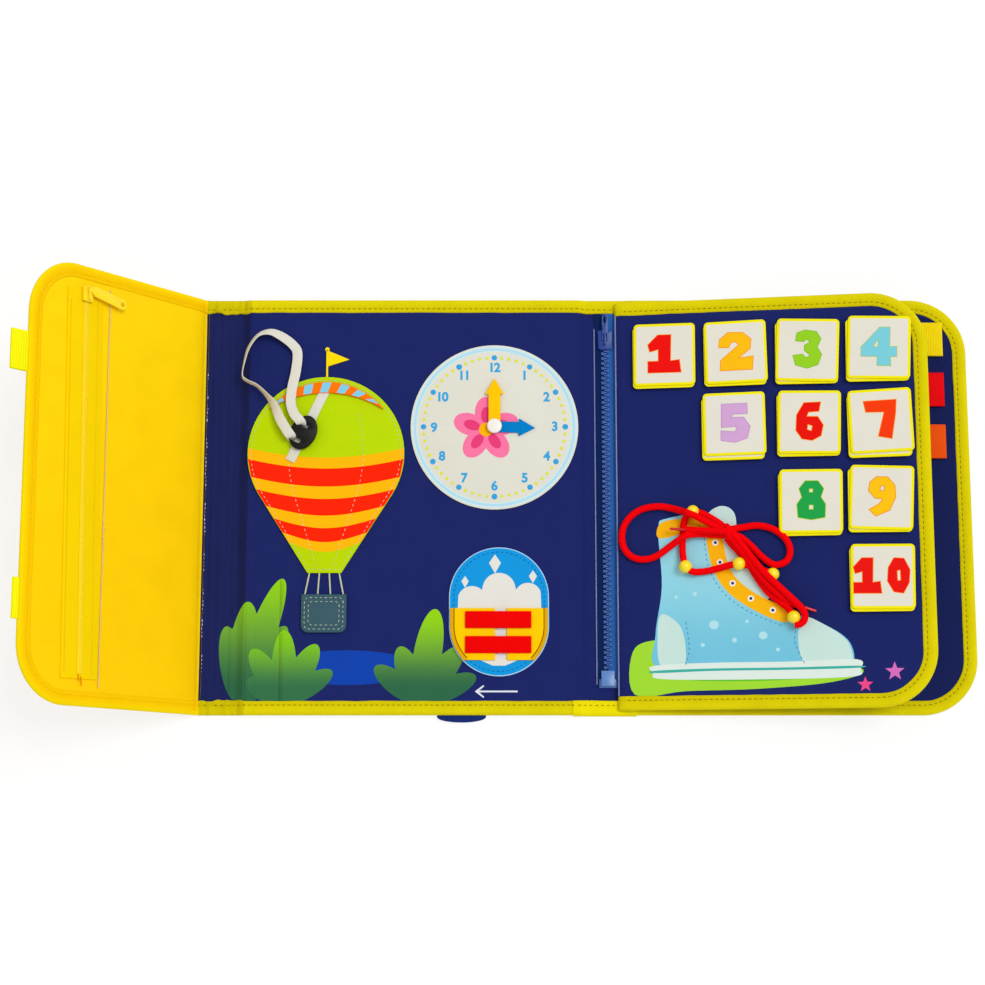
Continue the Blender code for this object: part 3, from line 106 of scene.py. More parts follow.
class Nodes:
    """Adds nodes to a tree and feeds them."""

    def __init__(self, tree: bpy.types.NodeTree) -> None:
        """Work on one tree."""
        self.nodes, self.links = tree.nodes, tree.links

    def feed(self, socket: Socket, value: object) -> None:
        """Link an input to another socket, or set its value."""
        if isinstance(value, Socket):
            self.links.new(value, socket)
        else:
            socket.default_value = value

    def node(self, kind: str, feeds: dict[str | int, object] | None = None,
        **settings: object) -> bpy.types.Node:
        """Add a node, set its options and feed its inputs.

        Args:
            kind: Blender's type name of the node.
            feeds: Sockets or values by the input's name or number.
            **settings: Options by name.

        Returns:
            The new node.
        """
        made = self.nodes.new(kind)
        for key, value in settings.items():
            setattr(made, key, value)
        for key, value in (feeds or {}).items():
            self.feed(made.inputs[key], value)
        return made


class Shader(Nodes):
    """Builds the nodes of one material."""

    def __init__(self, name: str) -> None:
        """Start a material with its Principled shader."""
        self.material = bpy.data.materials.new(name)
        self.material.use_nodes = True
        super().__init__(self.material.node_tree)
        self.surface = self.nodes["Principled BSDF"]

    def math(self, operation: str, first: object, second: object = 0.0) -> Socket:
        """Work out a number from one or two sockets or numbers."""
        return self.node("ShaderNodeMath", {0: first, 1: second}, operation=operation).outputs[0]

    def wave(self, place: object, pitch: float) -> Socket:
        """A sine wave along a coordinate, one period a pitch."""
        return self.math("SINE", self.math("MULTIPLY", place, 2 * math.pi / pitch))

    def noise(self, place: Socket, scale: float, detail: float = 2.0) -> Socket:
        """Smooth noise with so many features per metre."""
        feeds = {"Vector": place, "Scale": scale, "Detail": detail}
        return self.node("ShaderNodeTexNoise", feeds).outputs["Fac"]

    def mix(self, share: object, first: object, second: object) -> Socket:
        """Mix two colours, each a socket or three channels.

        Args:
            share: How much of the second colour, a socket or a number.
            first: First colour.
            second: Second colour.

        Returns:
            The mixed colour's socket.
        """
        first, second = (c if isinstance(c, Socket) else (*c, 1.0) for c in (first, second))
        return self.node("ShaderNodeMix", {0: share, 6: first, 7: second}, data_type="RGBA").outputs[2]

    def ramp(self, value: object, low: float, high: float) -> Socket:
        """A smooth 0 to 1 between two values of a coordinate."""
        feeds = {0: value, 1: low, 2: high}
        return self.node("ShaderNodeMapRange", feeds, interpolation_type="SMOOTHSTEP").outputs[0]

    def flat_place(self) -> Socket:
        """The coordinate that lies flat on the cloth."""
        return self.node("ShaderNodeUVMap", uv_map=UV_NAME).outputs[0]


@dataclass(frozen=True)
class Finish:
    """One finish: its colour, its grain and how it takes the light."""

    name: str
    colour: Colour
    grain: Grain
    pitch: float
    depth: float
    roughness: float
    vary: float = 0.12
    # shade: how much the grain's valleys are darkened, painted shade
    shade: float = 0.25
    slot: str = ""
    specular: float = 0.03
    fade_to: Colour | None = None
    fade: Point = (0.0, 0.0)

    def like(self, name: str, *levels: int, **changes: object) -> "Finish":
        """The same finish with another name and colour, and with other values where they are given."""
        return replace(self, name=name, colour=tint(*levels), **changes)

    def relief(self, made: Shader, place: Socket) -> Socket:
        """Build the grain's height.

        Args:
            made: The material in the making.
            place: The coordinate that the grain follows.

        Returns:
            The height's socket, about -1 to 1.
        """
        parts = made.node("ShaderNodeSeparateXYZ", {0: place})
        along, across = parts.outputs[0], parts.outputs[1]
        if self.grain is Grain.WEAVE:
            return made.math("MULTIPLY", made.wave(along, self.pitch), made.wave(across, self.pitch))
        if self.grain is Grain.RIB:
            wander = made.math("MULTIPLY", made.noise(place, 0.2 / self.pitch), self.pitch)
            return made.wave(made.math("ADD", along, wander), self.pitch)
        if self.grain is Grain.TWILL:
            return made.wave(made.math("ADD", along, made.math("MULTIPLY", across, 0.8)), self.pitch)
        if self.grain is Grain.BRAID:
            turn = made.math("MULTIPLY", across, 3 * self.pitch)
            ways = [made.wave(made.math(way, along, turn), self.pitch) for way in ("ADD", "SUBTRACT")]
            return made.math("MULTIPLY", *ways)
        if self.grain is Grain.SATIN:
            return made.noise(place, 0.05 / self.pitch, 4.0)
        return made.noise(place, 1 / self.pitch, 3.0)

    def material(self) -> bpy.types.Material:
        """The finish's material, made once."""
        if found := bpy.data.materials.get(self.name):
            return found
        made = Shader(self.name)
        place = made.flat_place()
        if self.grain is Grain.MOULDED:
            place = made.node("ShaderNodeTexCoord").outputs["Object"]
        height = self.relief(made, place)
        base = self.colour
        if self.fade_to is not None:
            rise = made.node("ShaderNodeSeparateXYZ", {0: place}).outputs[1]
            base = made.mix(made.ramp(rise, *self.fade), self.colour, self.fade_to)
        # deep serves both the painted valley shade and the random broad tone.
        deep = tuple(channel * 0.55 for channel in self.colour)
        pale = tuple(min(1.0, channel * 1.25 + 0.01) for channel in self.colour)
        # Painted shade: the colour darkens towards deep where the grain's height is low, by the finish's
        # shade.
        sunk = made.math("SUBTRACT", 0.5, made.math("MULTIPLY", height, 0.5))
        valley = made.math("MULTIPLY", sunk, self.shade)
        broad = made.math("MULTIPLY", made.ramp(made.noise(place, 45.0, 4.0), 0.35, 0.75), self.vary)
        worn = made.math("MULTIPLY", made.ramp(made.noise(place, 260.0, 3.0), 0.55, 0.8), self.vary)
        colour = made.mix(worn, made.mix(broad, made.mix(valley, base, deep), deep), pale)
        bump = made.node("ShaderNodeBump", {"Height": height, "Distance": self.depth, "Strength": 0.6})
        for label, value in {
            "Base Color": colour, "Normal": bump.outputs[0], "Specular IOR Level": self.specular,
            "Roughness": made.math("ADD", self.roughness, made.math("MULTIPLY", worn, 0.5)),
        }.items():
            made.feed(made.surface.inputs[label], value)
        made.material.diffuse_color = (*self.colour, 1.0)
        return made.material


@dataclass(frozen=True)
class ClearFinish:
    """A clear film: see-through, with a soft gloss."""

    name: str
    gloss: float = 0.02
    roughness: float = 0.10
    colour: Colour = (1.0, 0.70, 0.01)
    slot: str = ""

    def material(self) -> bpy.types.Material:
        """The film's material, made once."""
        if found := bpy.data.materials.get(self.name):
            return found
        made = Shader(self.name)
        height = made.noise(made.flat_place(), 22.0, 2.0)
        bump = made.node("ShaderNodeBump", {"Height": height, "Distance": 0.0003})
        for label, value in {
            "Base Color": (*self.colour, 1.0), "Roughness": self.roughness, "Normal": bump.outputs[0],
            "Alpha": self.gloss, "Specular IOR Level": 0.12,
        }.items():
            made.feed(made.surface.inputs[label], value)
        return made.material


class Finishes:
    """Every finish: pitch, depth and roughness of its grain, variation, painted shade in the grain's valleys,
    slot and gloss.
    """

    navy = Finish("navy_cloth", tint(29, 39, 102), Grain.WEAVE, 0.0011, 0.00006, 0.7, 0.10, 0.12,
        "navy_oxford")
    gusset = Finish(
        "gusset_cloth", tint(26, 34, 90), Grain.SATIN, 0.0011, 0.0005, 0.6, 0.25, 0.12, "navy_oxford", 0.05)
    cover_navy = navy.like("cover_cloth", 25, 34, 88)
    bright_tape = Finish(
        "lemon_tape", tint(248, 232, 8), Grain.TWILL, 0.0012, 0.00020, 0.7, 0.10, 0.2, "binding_yellow")
    # The binding tape turns to the brighter fade_to across its outer rounded edge: painted highlight there,
    # painted shade on its inner part.
    tape = bright_tape.like(
        "binding_tape", 232, 215, 4, depth=0.00024, roughness=0.75, vary=0.16, shade=0.34,
        fade_to=tint(246, 231, 14), fade=(0.005, 0.0145))
    # The tape over the gusset: a darker copy of the binding tape with strong broad variation, painted shade
    # of its crumples, and the same painted highlight on its outer edge.
    loose_tape = tape.like("crumpled_tape", 218, 202, 4, roughness=0.7, vary=0.5, fade_to=tint(236, 220, 8))
    # The flap's tape turns to the brighter fade_to towards its outer rounded edge: painted highlight there,
    # painted shade on its inner band.
    flap_tape = bright_tape.like(
        "flap_tape", 255, 204, 0, pitch=0.0011, depth=0.00010, vary=0.06, shade=0.12,
        fade_to=tint(255, 226, 2), fade=(0.008, 0.0145))
    thread = Finish("seam_thread", tint(120, 104, 14), Grain.TWILL, 0.0006, 0.00004, 0.8)
    flap_thread = thread.like("flap_thread", 246, 192, 2)
    pale_thread = thread.like("pale_thread", 206, 214, 186)
    sandal_thread = thread.like("sandal_thread", 20, 84, 160)
    # A dark amber line along the sandal flaps' fold crease: painted shade.
    amber_thread = thread.like("amber_thread", 118, 78, 0)
    orange_thread = thread.like("bar_tack", 255, 142, 6, depth=0.0001)
    lining = Finish(
        "flap_lining", tint(255, 206, 2), Grain.SATIN, 0.0012, 0.0006, 0.55, 0.10, 0.05, "flap_yellow", 0.05,
        tint(255, 214, 2), (-0.15, 0.15))
    pocket_tape = Finish(
        "pocket_tape", tint(252, 214, 2), Grain.TWILL, 0.0009, 0.00008, 0.7, 0.06, 0.10, "flap_yellow")
    pocket_coil = Finish(
        "pocket_coil", tint(255, 222, 4), Grain.MOULDED, 0.0008, 0.00003, 0.35, 0.05, 0.08, "flap_yellow",
        0.4)
    loop_yellow = Finish(
        "yellow_webbing", tint(252, 222, 16), Grain.RIB, 0.0012, 0.0002, 0.75, shade=0.15, slot="loop_yellow")
    loop_red = loop_yellow.like("red_webbing", 240, 14, 20, slot="loop_red")
    loop_orange = loop_yellow.like("orange_webbing", 250, 88, 20, shade=0.2, slot="loop_orange")
    neon = loop_yellow.like("neon_webbing", 255, 250, 12, vary=0.04, shade=0.22, slot="binding_yellow")
    strap = loop_yellow.like(
        "strap_webbing", 26, 48, 120, pitch=0.0014, roughness=0.8, shade=0.4, slot="deep_blue_webbing")
    zip_tape = Finish("zip_tape_cloth", tint(49, 108, 188), Grain.TWILL, 0.0009, 0.00012, 0.7, 0.16, 0.30,
        "zip_blue")
    # A darker copy of the zip tape, for the left half: painted shade.
    zip_shade = zip_tape.like("zip_tape_shade", 16, 38, 88)
    zip_end = Finish("zip_end_film", tint(66, 110, 178), Grain.SATIN, 0.0009, 0.0002, 0.25, 0.3, 0.1,
        "zip_blue", 0.6)
    zip_teeth = Finish(
        "zip_teeth", tint(36, 78, 152), Grain.MOULDED, 0.0008, 0.00002, 0.35, 0.05, 0.1, "zip_blue", 0.35)
    # Lighter, glossier beads on the teeth: the lighter colour is a painted highlight.
    zip_heads = zip_teeth.like("zip_tooth_heads", 50, 92, 168, roughness=0.28, shade=0.05, specular=0.5)
    zip_box = zip_teeth.like("zip_end_box", 84, 128, 190, roughness=0.3, vary=0.12, specular=0.5)
    zip_slider = zip_teeth.like("zip_slider", 22, 58, 140, vary=0.12)
    red_print = Finish("red_print", tint(255, 36, 4), Grain.FELT, 0.0006, 0.00004, 0.6, 0.05, 0.08)
    amber_print = red_print.like("amber_print", 254, 184, 8)
    orange_print = red_print.like("orange_print", 255, 118, 6, slot="crown_print")
    pale_blue = red_print.like("pale_blue_print", 128, 204, 232, slot="crown_print")
    sun = red_print.like("sun_print", 252, 220, 8)
    lime = red_print.like("lime_felt", 186, 216, 4, depth=0.00008, vary=0.08, slot="lime_leather")
    teal = Finish("teal_felt", tint(60, 92, 104), Grain.FELT, 0.0006, 0.00008, 0.7, slot="teal_patch")
    elastic = Finish(
        "ribbed_elastic", tint(226, 223, 211), Grain.RIB, 0.0009, 0.00012, 0.85, 0.05, 0.14, "white_elastic")
    black = Finish(
        "slide_plastic", tint(14, 13, 12), Grain.MOULDED, 0.0008, 0.00003, 0.38, 0.1, 0.1, "black_lock", 0.18)
    dial = Finish("dial_felt", tint(222, 221, 208), Grain.FELT, 0.0006, 0.00004, 0.75, 0.05, 0.06,
        "dial_print")
    dial_ring = Finish("dial_ring", tint(178, 220, 236), Grain.FELT, 0.0006, 0.00003, 0.7, 0.04, 0.05)
    dial_haze = dial_ring.like("dial_haze", 208, 230, 232, vary=0.06)
    dial_blue = dial_ring.like("dial_blue", 52, 164, 222)
    dial_dot = dial_ring.like("dial_dot", 224, 230, 44)
    petal = Finish("petal_print", tint(248, 118, 164), Grain.FELT, 0.0006, 0.00003, 0.7, 0.05, 0.06)
    petal_deep = petal.like("petal_deep", 230, 62, 122)
    hand_yellow = Finish(
        "minute_felt", tint(255, 198, 4), Grain.FELT, 0.0006, 0.00006, 0.7, 0.06, 0.1, "hand_yellow")
    hand_blue = hand_yellow.like("hour_felt", 2, 126, 200, slot="hand_blue")
    post = Finish(
        "white_post", tint(240, 236, 228), Grain.MOULDED, 0.001, 0.00001, 0.35, 0.03, 0.04, "post_white", 0.5)
    sky = Finish("sky_felt", tint(20, 150, 222), Grain.FELT, 0.0006, 0.00004, 0.65, 0.06, 0.08, "sky_print")
    white_felt = Finish("white_felt", tint(176, 210, 240), Grain.FELT, 0.0006, 0.00005, 0.7, 0.05, 0.06,
        "sky_print")
    cloud_print = white_felt.like("cloud_print", 226, 224, 216)
    sandal_felt = Finish("sandal_felt", tint(255, 204, 4), Grain.FELT, 0.0006, 0.00010, 0.8, 0.08, 0.14,
        "sun_felt")
    # The darker amber band of the sandal flaps' outer fold: painted shade on the turned edge.
    sandal_fold = sandal_felt.like("sandal_fold", 226, 168, 2)
    hook_tape = Finish("hook_tape", tint(242, 4, 4), Grain.FELT, 0.0005, 0.00016, 0.85, 0.10, 0.25,
        "red_hook_tape")
    card = Finish("tile_card", tint(228, 224, 210), Grain.FELT, 0.0007, 0.00004, 0.75, 0.04, 0.05,
        "tile_print")
    card_edge = card.like("tile_edge", 246, 234, 16, vary=0.06)
    hook_pad = Finish("loop_pads", tint(36, 42, 104), Grain.FELT, 0.0005, 0.0002, 0.9, 0.1)
    print_dash = Finish("print_dash", tint(52, 132, 176), Grain.FELT, 0.0006, 0.00002, 0.7)
    bead = Finish(
        "lacing_beads", tint(255, 226, 10), Grain.MOULDED, 0.001, 0.00001, 0.2, 0.04, 0.04, "stud_yellow",
        0.6)
    lace = Finish("red_lace", tint(255, 2, 10), Grain.BRAID, 0.0016, 0.00018, 0.75, 0.06, 0.28, "lace_red")
    tip = Finish("lace_tips", tint(214, 14, 28), Grain.MOULDED, 0.001, 0.00001, 0.3, slot="lace_red",
        specular=0.6)
    # Pale glossy colour for the pocket's beige stitches and for the window's turned edge, where the paleness
    # is a painted highlight.
    seam_film = Finish("seam_film", tint(226, 206, 132), Grain.SATIN, 0.001, 0.0003, 0.3, 0.3, specular=0.5)
    # Pale flakes on the window's edge: painted glare on the clear film.
    frayed = seam_film.like("frayed_film", 250, 222, 130)
    # Near-black piping at the flap's fold: a seam piping whose darkness is painted shade of the crease.
    dark_piping = seam_film.like("fold_piping", 10, 12, 34)
    piping = seam_film.like("clear_piping", 118, 128, 186, roughness=0.25, vary=0.25, specular=0.6)
    # Pale glossy flakes that stand for glints on clear film: painted highlights.
    glint = seam_film.like("film_glints", 214, 214, 232, roughness=0.2, vary=0.2, specular=0.8)
    film = ClearFinish("window_film", slot="clear_film")

    def ink(self, name: str, colour: Colour, fade_to: Colour | None = None,
        fade: Point = (0.0, 0.0)) -> Finish:
        """A print on the navy cloth, which may fade to another colour between two heights."""
        return Finish(
            name, colour, Grain.WEAVE, 0.0011, 0.00004, 0.6, 0.05, 0.08, "navy_oxford", fade_to=fade_to,
            fade=fade)


LOOKS = Finishes()


def arc(middle: Point, radius: float, start: float, end: float, steps: int = 24) -> Loop:
    """Points along an arc between two angles, both ends included."""
    turns = [start + (end - start) * step / steps for step in range(steps + 1)]
    return [(middle[0] + radius * math.cos(a), middle[1] + radius * math.sin(a)) for a in turns]


def oval(middle: Point, half_width: float, half_height: float, steps: int = 40) -> Loop:
    """An ellipse."""
    turns = [2 * math.pi * step / steps for step in range(steps)]
    return [(middle[0] + half_width * math.cos(a), middle[1] + half_height * math.sin(a)) for a in turns]


def box_loop(left: float, bottom: float, right: float, top: float) -> Loop:
    """A rectangle."""
    return [(left, bottom), (right, bottom), (right, top), (left, top)]


def rounded(left: float, bottom: float, right: float, top: float, radius: float, steps: int = 8) -> Loop:
    """A rectangle with four round corners."""
    corners = ((right, top, -1, -1), (left, top, 1, -1), (left, bottom, 1, 1), (right, bottom, -1, 1))
    points: Loop = []
    for quarter, (x, y, way_x, way_y) in enumerate(corners):
        start = quarter * math.pi / 2
        points += arc((x + way_x * radius, y + way_y * radius), radius, start, start + math.pi / 2, steps)
    return points


def curved(knots: Sequence[Sequence[float]], closed: bool = False, steps: int = 6) -> list[tuple[float, ...]]:
    """A smooth curve through given points.

    Args:
        knots: The points, of two or more numbers each.
        closed: Whether the curve comes back to its start.
        steps: Points for each stretch.

    Returns:
        The curve's points.
    """
    own = [Vector(knot) for knot in knots]
    ends = [own[-1]] + own + own[:2] if closed else [own[0]] + own + [own[-1]]
    points = []
    for a, b, c, d in zip(ends, ends[1:], ends[2:], ends[3:]):
        for step in range(steps):
            t = step / steps
            bend = (2 * a - 5 * b + 4 * c - d) * t**2 + (3 * b - a - 3 * c + d) * t**3
            points.append(tuple(b + ((c - a) * t + bend) / 2))
    return points if closed else points + [tuple(own[-1])]


def shifted(loop: Iterable[Point], x: float, y: float, scale: float = 1.0, turn: float = 0.0) -> Loop:
    """A loop scaled, turned about the origin by an angle and then moved."""
    cos, sin = math.cos(turn) * scale, math.sin(turn) * scale
    return [(x + px * cos - py * sin, y + px * sin + py * cos) for px, py in loop]


def opened(mesh: Mesh) -> bmesh.types.BMesh:
    """An edit that starts from a mesh."""
    edit = bmesh.new()
    edit.from_mesh(mesh)
    return edit


def closed(edit: bmesh.types.BMesh, mesh: Mesh | None = None) -> Mesh:
    """End an edit in a mesh, or in a new one."""
    mesh = mesh or bpy.data.meshes.new("piece")
    edit.to_mesh(mesh)
    edit.free()
    return mesh


def stamped(mesh: Mesh, swapped: bool = False) -> Mesh:
    """Write the mesh's present X and Y, or Y and X, into its UV map."""
    layer = mesh.uv_layers.get(UV_NAME) or mesh.uv_layers.new(name=UV_NAME)
    for loop in mesh.loops:
        x, y = mesh.vertices[loop.vertex_index].co.xy
        layer.data[loop.index].uv = (y, x) if swapped else (x, y)
    return mesh


def tidied(mesh: Mesh, sharp: float = 40.0) -> Mesh:
    """Turn the faces outwards and shade the mesh smooth but for its sharp edges."""
    edit = opened(mesh)
    bmesh.ops.recalc_face_normals(edit, faces=edit.faces)
    closed(edit, mesh)
    mesh.shade_smooth()
    mesh.set_sharp_from_angle(angle=math.radians(sharp))
    return mesh


def settled(item: Piece) -> Mesh:
    """The plain mesh of a guide object with its modifiers worked out; the guide goes."""
    if not item.users_collection:
        bpy.context.scene.collection.objects.link(item)
    bpy.context.view_layer.update()
    evaluated = item.evaluated_get(bpy.context.evaluated_depsgraph_get())
    mesh = bpy.data.meshes.new_from_object(evaluated)
    mesh.transform(item.matrix_world)
    bpy.data.objects.remove(item, do_unlink=True)
    return mesh


def thickened(mesh: Mesh, thickness: float, offset: float) -> Mesh:
    """A sheet given thickness, smooth all over."""
    item = bpy.data.objects.new("sheet", mesh)
    thick = item.modifiers.new("thickness", "SOLIDIFY")
    thick.thickness, thick.offset = thickness, offset
    mesh = settled(item)
    mesh.shade_smooth()
    return mesh


def mounds(rounds: Sequence[Place], base: float, steps: int = 96) -> Loop:
    """The outline over a row of round mounds, left to right.

    Args:
        rounds: Middle across, middle up and radius of each mound.
        base: Lowest height of the outline.
        steps: Points along the outline.

    Returns:
        The outline's points.
    """
    left = min(x - radius for x, _, radius in rounds)
    right = max(x + radius for x, _, radius in rounds)
    points: Loop = []
    for step in range(steps + 1):
        x = left + (right - left) * step / steps
        tops = [y + math.sqrt(r**2 - (x - middle) ** 2) for middle, y, r in rounds if abs(x - middle) < r]
        points.append((x, max([base + PRINT, *tops])))
    return points


def plate(loops: Sequence[Loop], low: float, high: float, soft: float = 0.0, grow: float = 0.0) -> Mesh:
    """A flat outline with holes, given thickness and soft edges.

    Args:
        loops: The outline and its holes.
        low: Height of its underside.
        high: Height of its top.
        soft: Radius of its edges.
        grow: How far the outline moves outwards.

    Returns:
        The mesh.
    """
    curve = bpy.data.curves.new("outline", "CURVE")
    curve.dimensions = "2D"
    curve.fill_mode = "BOTH"
    curve.extrude = (high - low) / 2 - soft
    curve.bevel_depth = soft
    curve.bevel_resolution = 2
    curve.offset = grow - soft
    for loop in loops:
        spline = curve.splines.new("POLY")
        spline.points.add(len(loop) - 1)
        for point, (x, y) in zip(spline.points, loop):
            point.co = (x, y, 0.0, 1.0)
        spline.use_cyclic_u = True
    guide = bpy.data.objects.new("outline", curve)
    guide.location.z = (low + high) / 2
    mesh = settled(guide)
    mesh.materials.clear()
    edit = opened(mesh)
    bmesh.ops.remove_doubles(edit, verts=edit.verts, dist=0.00001)
    tidied(closed(edit, mesh))
    if not soft:
        mesh.shade_flat()
    return stamped(mesh)


def joined(meshes: Sequence[Mesh]) -> Mesh:
    """Several meshes as one that keeps every face's material."""
    whole = bpy.data.meshes.new("joined")
    edit = bmesh.new()
    for mesh in meshes:
        before = len(edit.faces)
        edit.from_mesh(mesh)
        edit.faces.ensure_lookup_table()
        for face in edit.faces[before:]:
            slot = mesh.materials[min(face.material_index, len(mesh.materials) - 1)]
            if slot.name not in whole.materials:
                whole.materials.append(slot)
            face.material_index = whole.materials.find(slot.name)
    return closed(edit, whole)


def coloured(mesh: Mesh, finish: Finish | ClearFinish) -> Mesh:
    """Give a mesh one finish."""
    mesh.materials.clear()
    mesh.materials.append(finish.material())
    return mesh


def patch(
    finish: Finish, loops: Sequence[Loop], low: float, high: float, soft: float = 0.0, grow: float = 0.0
) -> Mesh:
    """A plate with its finish."""
    return coloured(plate(loops, low, high, soft, grow), finish)


def add_piece(
    name: str, mesh: Mesh, bodies: Sequence[str] = ("back",),
    stands_for: Sequence[str] = (),
) -> Piece:
    """Put a finished mesh into the scene and on its body.

    Args:
        name: The piece's name.
        mesh: Its mesh, with materials.
        bodies: One body that it rides on, or two, which leave it in place on neither.
        stands_for: The frame's nodes that it replaces.

    Returns:
        The new object.
    """
    mesh.name = name
    item = bpy.data.objects.new(name, mesh)
    bpy.context.scene.collection.objects.link(item)
    if len(bodies) > 1:
        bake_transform(item)
    else:
        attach(item, bodies[0])
    if stands_for:
        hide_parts(*stands_for)
    LOG.info("%s: %d faces on %s", name, len(mesh.polygons), " and ".join(bodies))
    return item


def softened(node: str, finish: Finish, body: str, soft: float = 0.0003, name: str = "") -> Piece:
    """A finer copy of a frame solid: merged, its edges rounded and its faces smooth.

    Args:
        node: The frame's node, which the copy replaces.
        finish: Its finish.
        body: The body that it rides on.
        soft: Radius of its edges.
        name: The copy's name, if not the node's with a suffix.

    Returns:
        The new object.
    """
    mesh = frame["nodes"][node].data.copy()
    edit = opened(mesh)
    bmesh.ops.remove_doubles(edit, verts=edit.verts, dist=0.000002)
    bmesh.ops.dissolve_limit(edit, angle_limit=math.radians(1.0), verts=edit.verts, edges=edit.edges)
    edges = [e for e in edit.edges if len(e.link_faces) == 2 and e.calc_face_angle(0.0) > math.radians(35)]
    bmesh.ops.bevel(edit, geom=edges, offset=soft, segments=2, profile=0.5, affect="EDGES",
        clamp_overlap=True)
    stamped(tidied(closed(edit, mesh)))
    return add_piece(name or f"{node}_finish", coloured(mesh, finish), [body], stands_for=[node])


class Sown(Nodes):
    """Geometry Nodes that set small pieces along a path or on points."""

    def __init__(self, along: bool) -> None:
        """Build the tree, for pieces along a path at a pitch or for one on each point."""
        tree = bpy.data.node_groups.new("sewn_row" if along else "set_points", "GeometryNodeTree")
        super().__init__(tree)
        self.tree = tree
        kinds = {"Geometry": "Geometry", "Piece": "Object", "Pitch": "Float", "Wander": "Float",
            "Finish": "Material"}
        self.sockets = {
            label: tree.interface.new_socket(
                name=label, in_out="INPUT", socket_type=f"NodeSocket{kind}").identifier
            for label, kind in kinds.items()
        }
        tree.interface.new_socket(name="Geometry", in_out="OUTPUT", socket_type="NodeSocketGeometry")
        feed = self.node("NodeGroupInput").outputs
        points = feed["Geometry"]
        feeds = {}
        if along:
            strand = self.node("GeometryNodeMeshToCurve", {"Mesh": points}).outputs[0]
            row = {"Curve": strand, "Length": feed["Pitch"]}
            points = self.node("GeometryNodeResampleCurve", row, mode="LENGTH").outputs[0]
            tangent = self.node("GeometryNodeInputTangent").outputs[0]
            feeds["Rotation"] = self.node("FunctionNodeAlignRotationToVector", {"Vector": tangent},
                axis="X").outputs[0]
        least = self.node("ShaderNodeMath", {0: 1.0, 1: feed["Wander"]}, operation="SUBTRACT").outputs[0]
        wander = self.node("FunctionNodeRandomValue", {"Seed": 7, 2: least, 3: 1.0}, data_type="FLOAT")
        shape = self.node("GeometryNodeObjectInfo", {"Object": feed["Piece"]}).outputs["Geometry"]
        feeds |= {"Points": points, "Instance": shape, "Scale": wander.outputs[1]}
        scatter = self.node("GeometryNodeInstanceOnPoints", feeds).outputs[0]
        real = self.node("GeometryNodeRealizeInstances", {"Geometry": scatter}).outputs[0]
        paint = self.node("GeometryNodeSetMaterial", {"Geometry": real, "Material": feed["Finish"]})
        self.node("NodeGroupOutput", {"Geometry": paint.outputs[0]})

    def grow(
        self, paths: Sequence[Sequence[Place]], shape: Mesh, finish: Finish, pitch: float = 0.0036,
        wander: float = 0.15,
    ) -> Mesh:
        """Set copies of a small piece along paths.

        Args:
            paths: Each path's points.
            shape: The small piece, lying along X.
            finish: Its finish.
            pitch: Distance between pieces.
            wander: How much pieces differ in size.

        Returns:
            The realised mesh.
        """
        lines = bpy.data.meshes.new("paths")
        points: list[Place] = []
        edges = []
        for path in paths:
            first = len(points)
            points += [tuple(place) for place in path]
            edges += [(first + step, first + step + 1) for step in range(len(path) - 1)]
        lines.from_pydata(points, edges, [])
        guide, small = bpy.data.objects.new("paths", lines), bpy.data.objects.new("small_piece", shape)
        for item in (guide, small):
            bpy.context.scene.collection.objects.link(item)
        modifier = guide.modifiers.new("rows", "NODES")
        modifier.node_group = self.tree
        values = {"Piece": small, "Pitch": pitch, "Wander": wander, "Finish": finish.material()}
        for label, value in values.items():
            modifier[self.sockets[label]] = value
        guide.update_tag()
        mesh = settled(guide)
        bpy.data.objects.remove(small, do_unlink=True)
        mesh.shade_smooth()
        return coloured(stamped(mesh), finish)


def plump(half_sizes: Place, steps: int = 2) -> Mesh:
    """A ball stretched to three half sizes."""
    edit = bmesh.new()
    matrix = Matrix.Diagonal((*half_sizes, 1.0))
    bmesh.ops.create_icosphere(edit, subdivisions=steps, radius=1.0, matrix=matrix)
    return closed(edit)


def bead_shape(half_sizes: Place, around: int) -> Mesh:
    """A low bead with its poles up and down, stretched to three half sizes."""
    edit = bmesh.new()
    matrix = Matrix.Diagonal((*half_sizes, 1.0))
    bmesh.ops.create_uvsphere(edit, u_segments=around, v_segments=6, radius=1.0, matrix=matrix)
    return closed(edit)


def stitch_shape(length: float = 0.0024, width: float = 0.00055, height: float = 0.0003) -> Mesh:
    """One stitch: a short plump dash of thread lying along X."""
    return plump((length / 2, width / 2, height))


def mapped_edit() -> bmesh.types.BMesh:
    """An empty edit with the UV map that skinned writes."""
    edit = bmesh.new()
    edit.loops.layers.uv.new(UV_NAME)
    return edit


def skinned(
    edit: bmesh.types.BMesh, rings: Sequence[Sequence[bmesh.types.BMVert]], middles: Sequence[Vector],
    around: float
) -> None:
    """Close rings of corners into a tube with closed ends, and map its length and turn.

    Args:
        edit: The edit, from mapped_edit.
        rings: The corners of each ring.
        middles: The centreline, a place for each ring.
        around: How far the map moves from corner to corner.
    """
    layer = edit.loops.layers.uv[UV_NAME]
    marks = [0.0]
    for before, place in zip(middles, middles[1:]):
        marks.append(marks[-1] + (place - before).length)
    count = len(rings[0])
    for index, (first, second) in enumerate(zip(rings, rings[1:])):
        for step in range(count):
            after = (step + 1) % count
            face = edit.faces.new((first[step], second[step], second[after], first[after]))
            spots = ((index, step), (index + 1, step), (index + 1, step + 1), (index, step + 1))
            for loop, (mark, turn) in zip(face.loops, spots):
                loop[layer].uv = (marks[mark], turn * around)
    for ring in (rings[0], rings[-1]):
        edit.faces.new(ring)


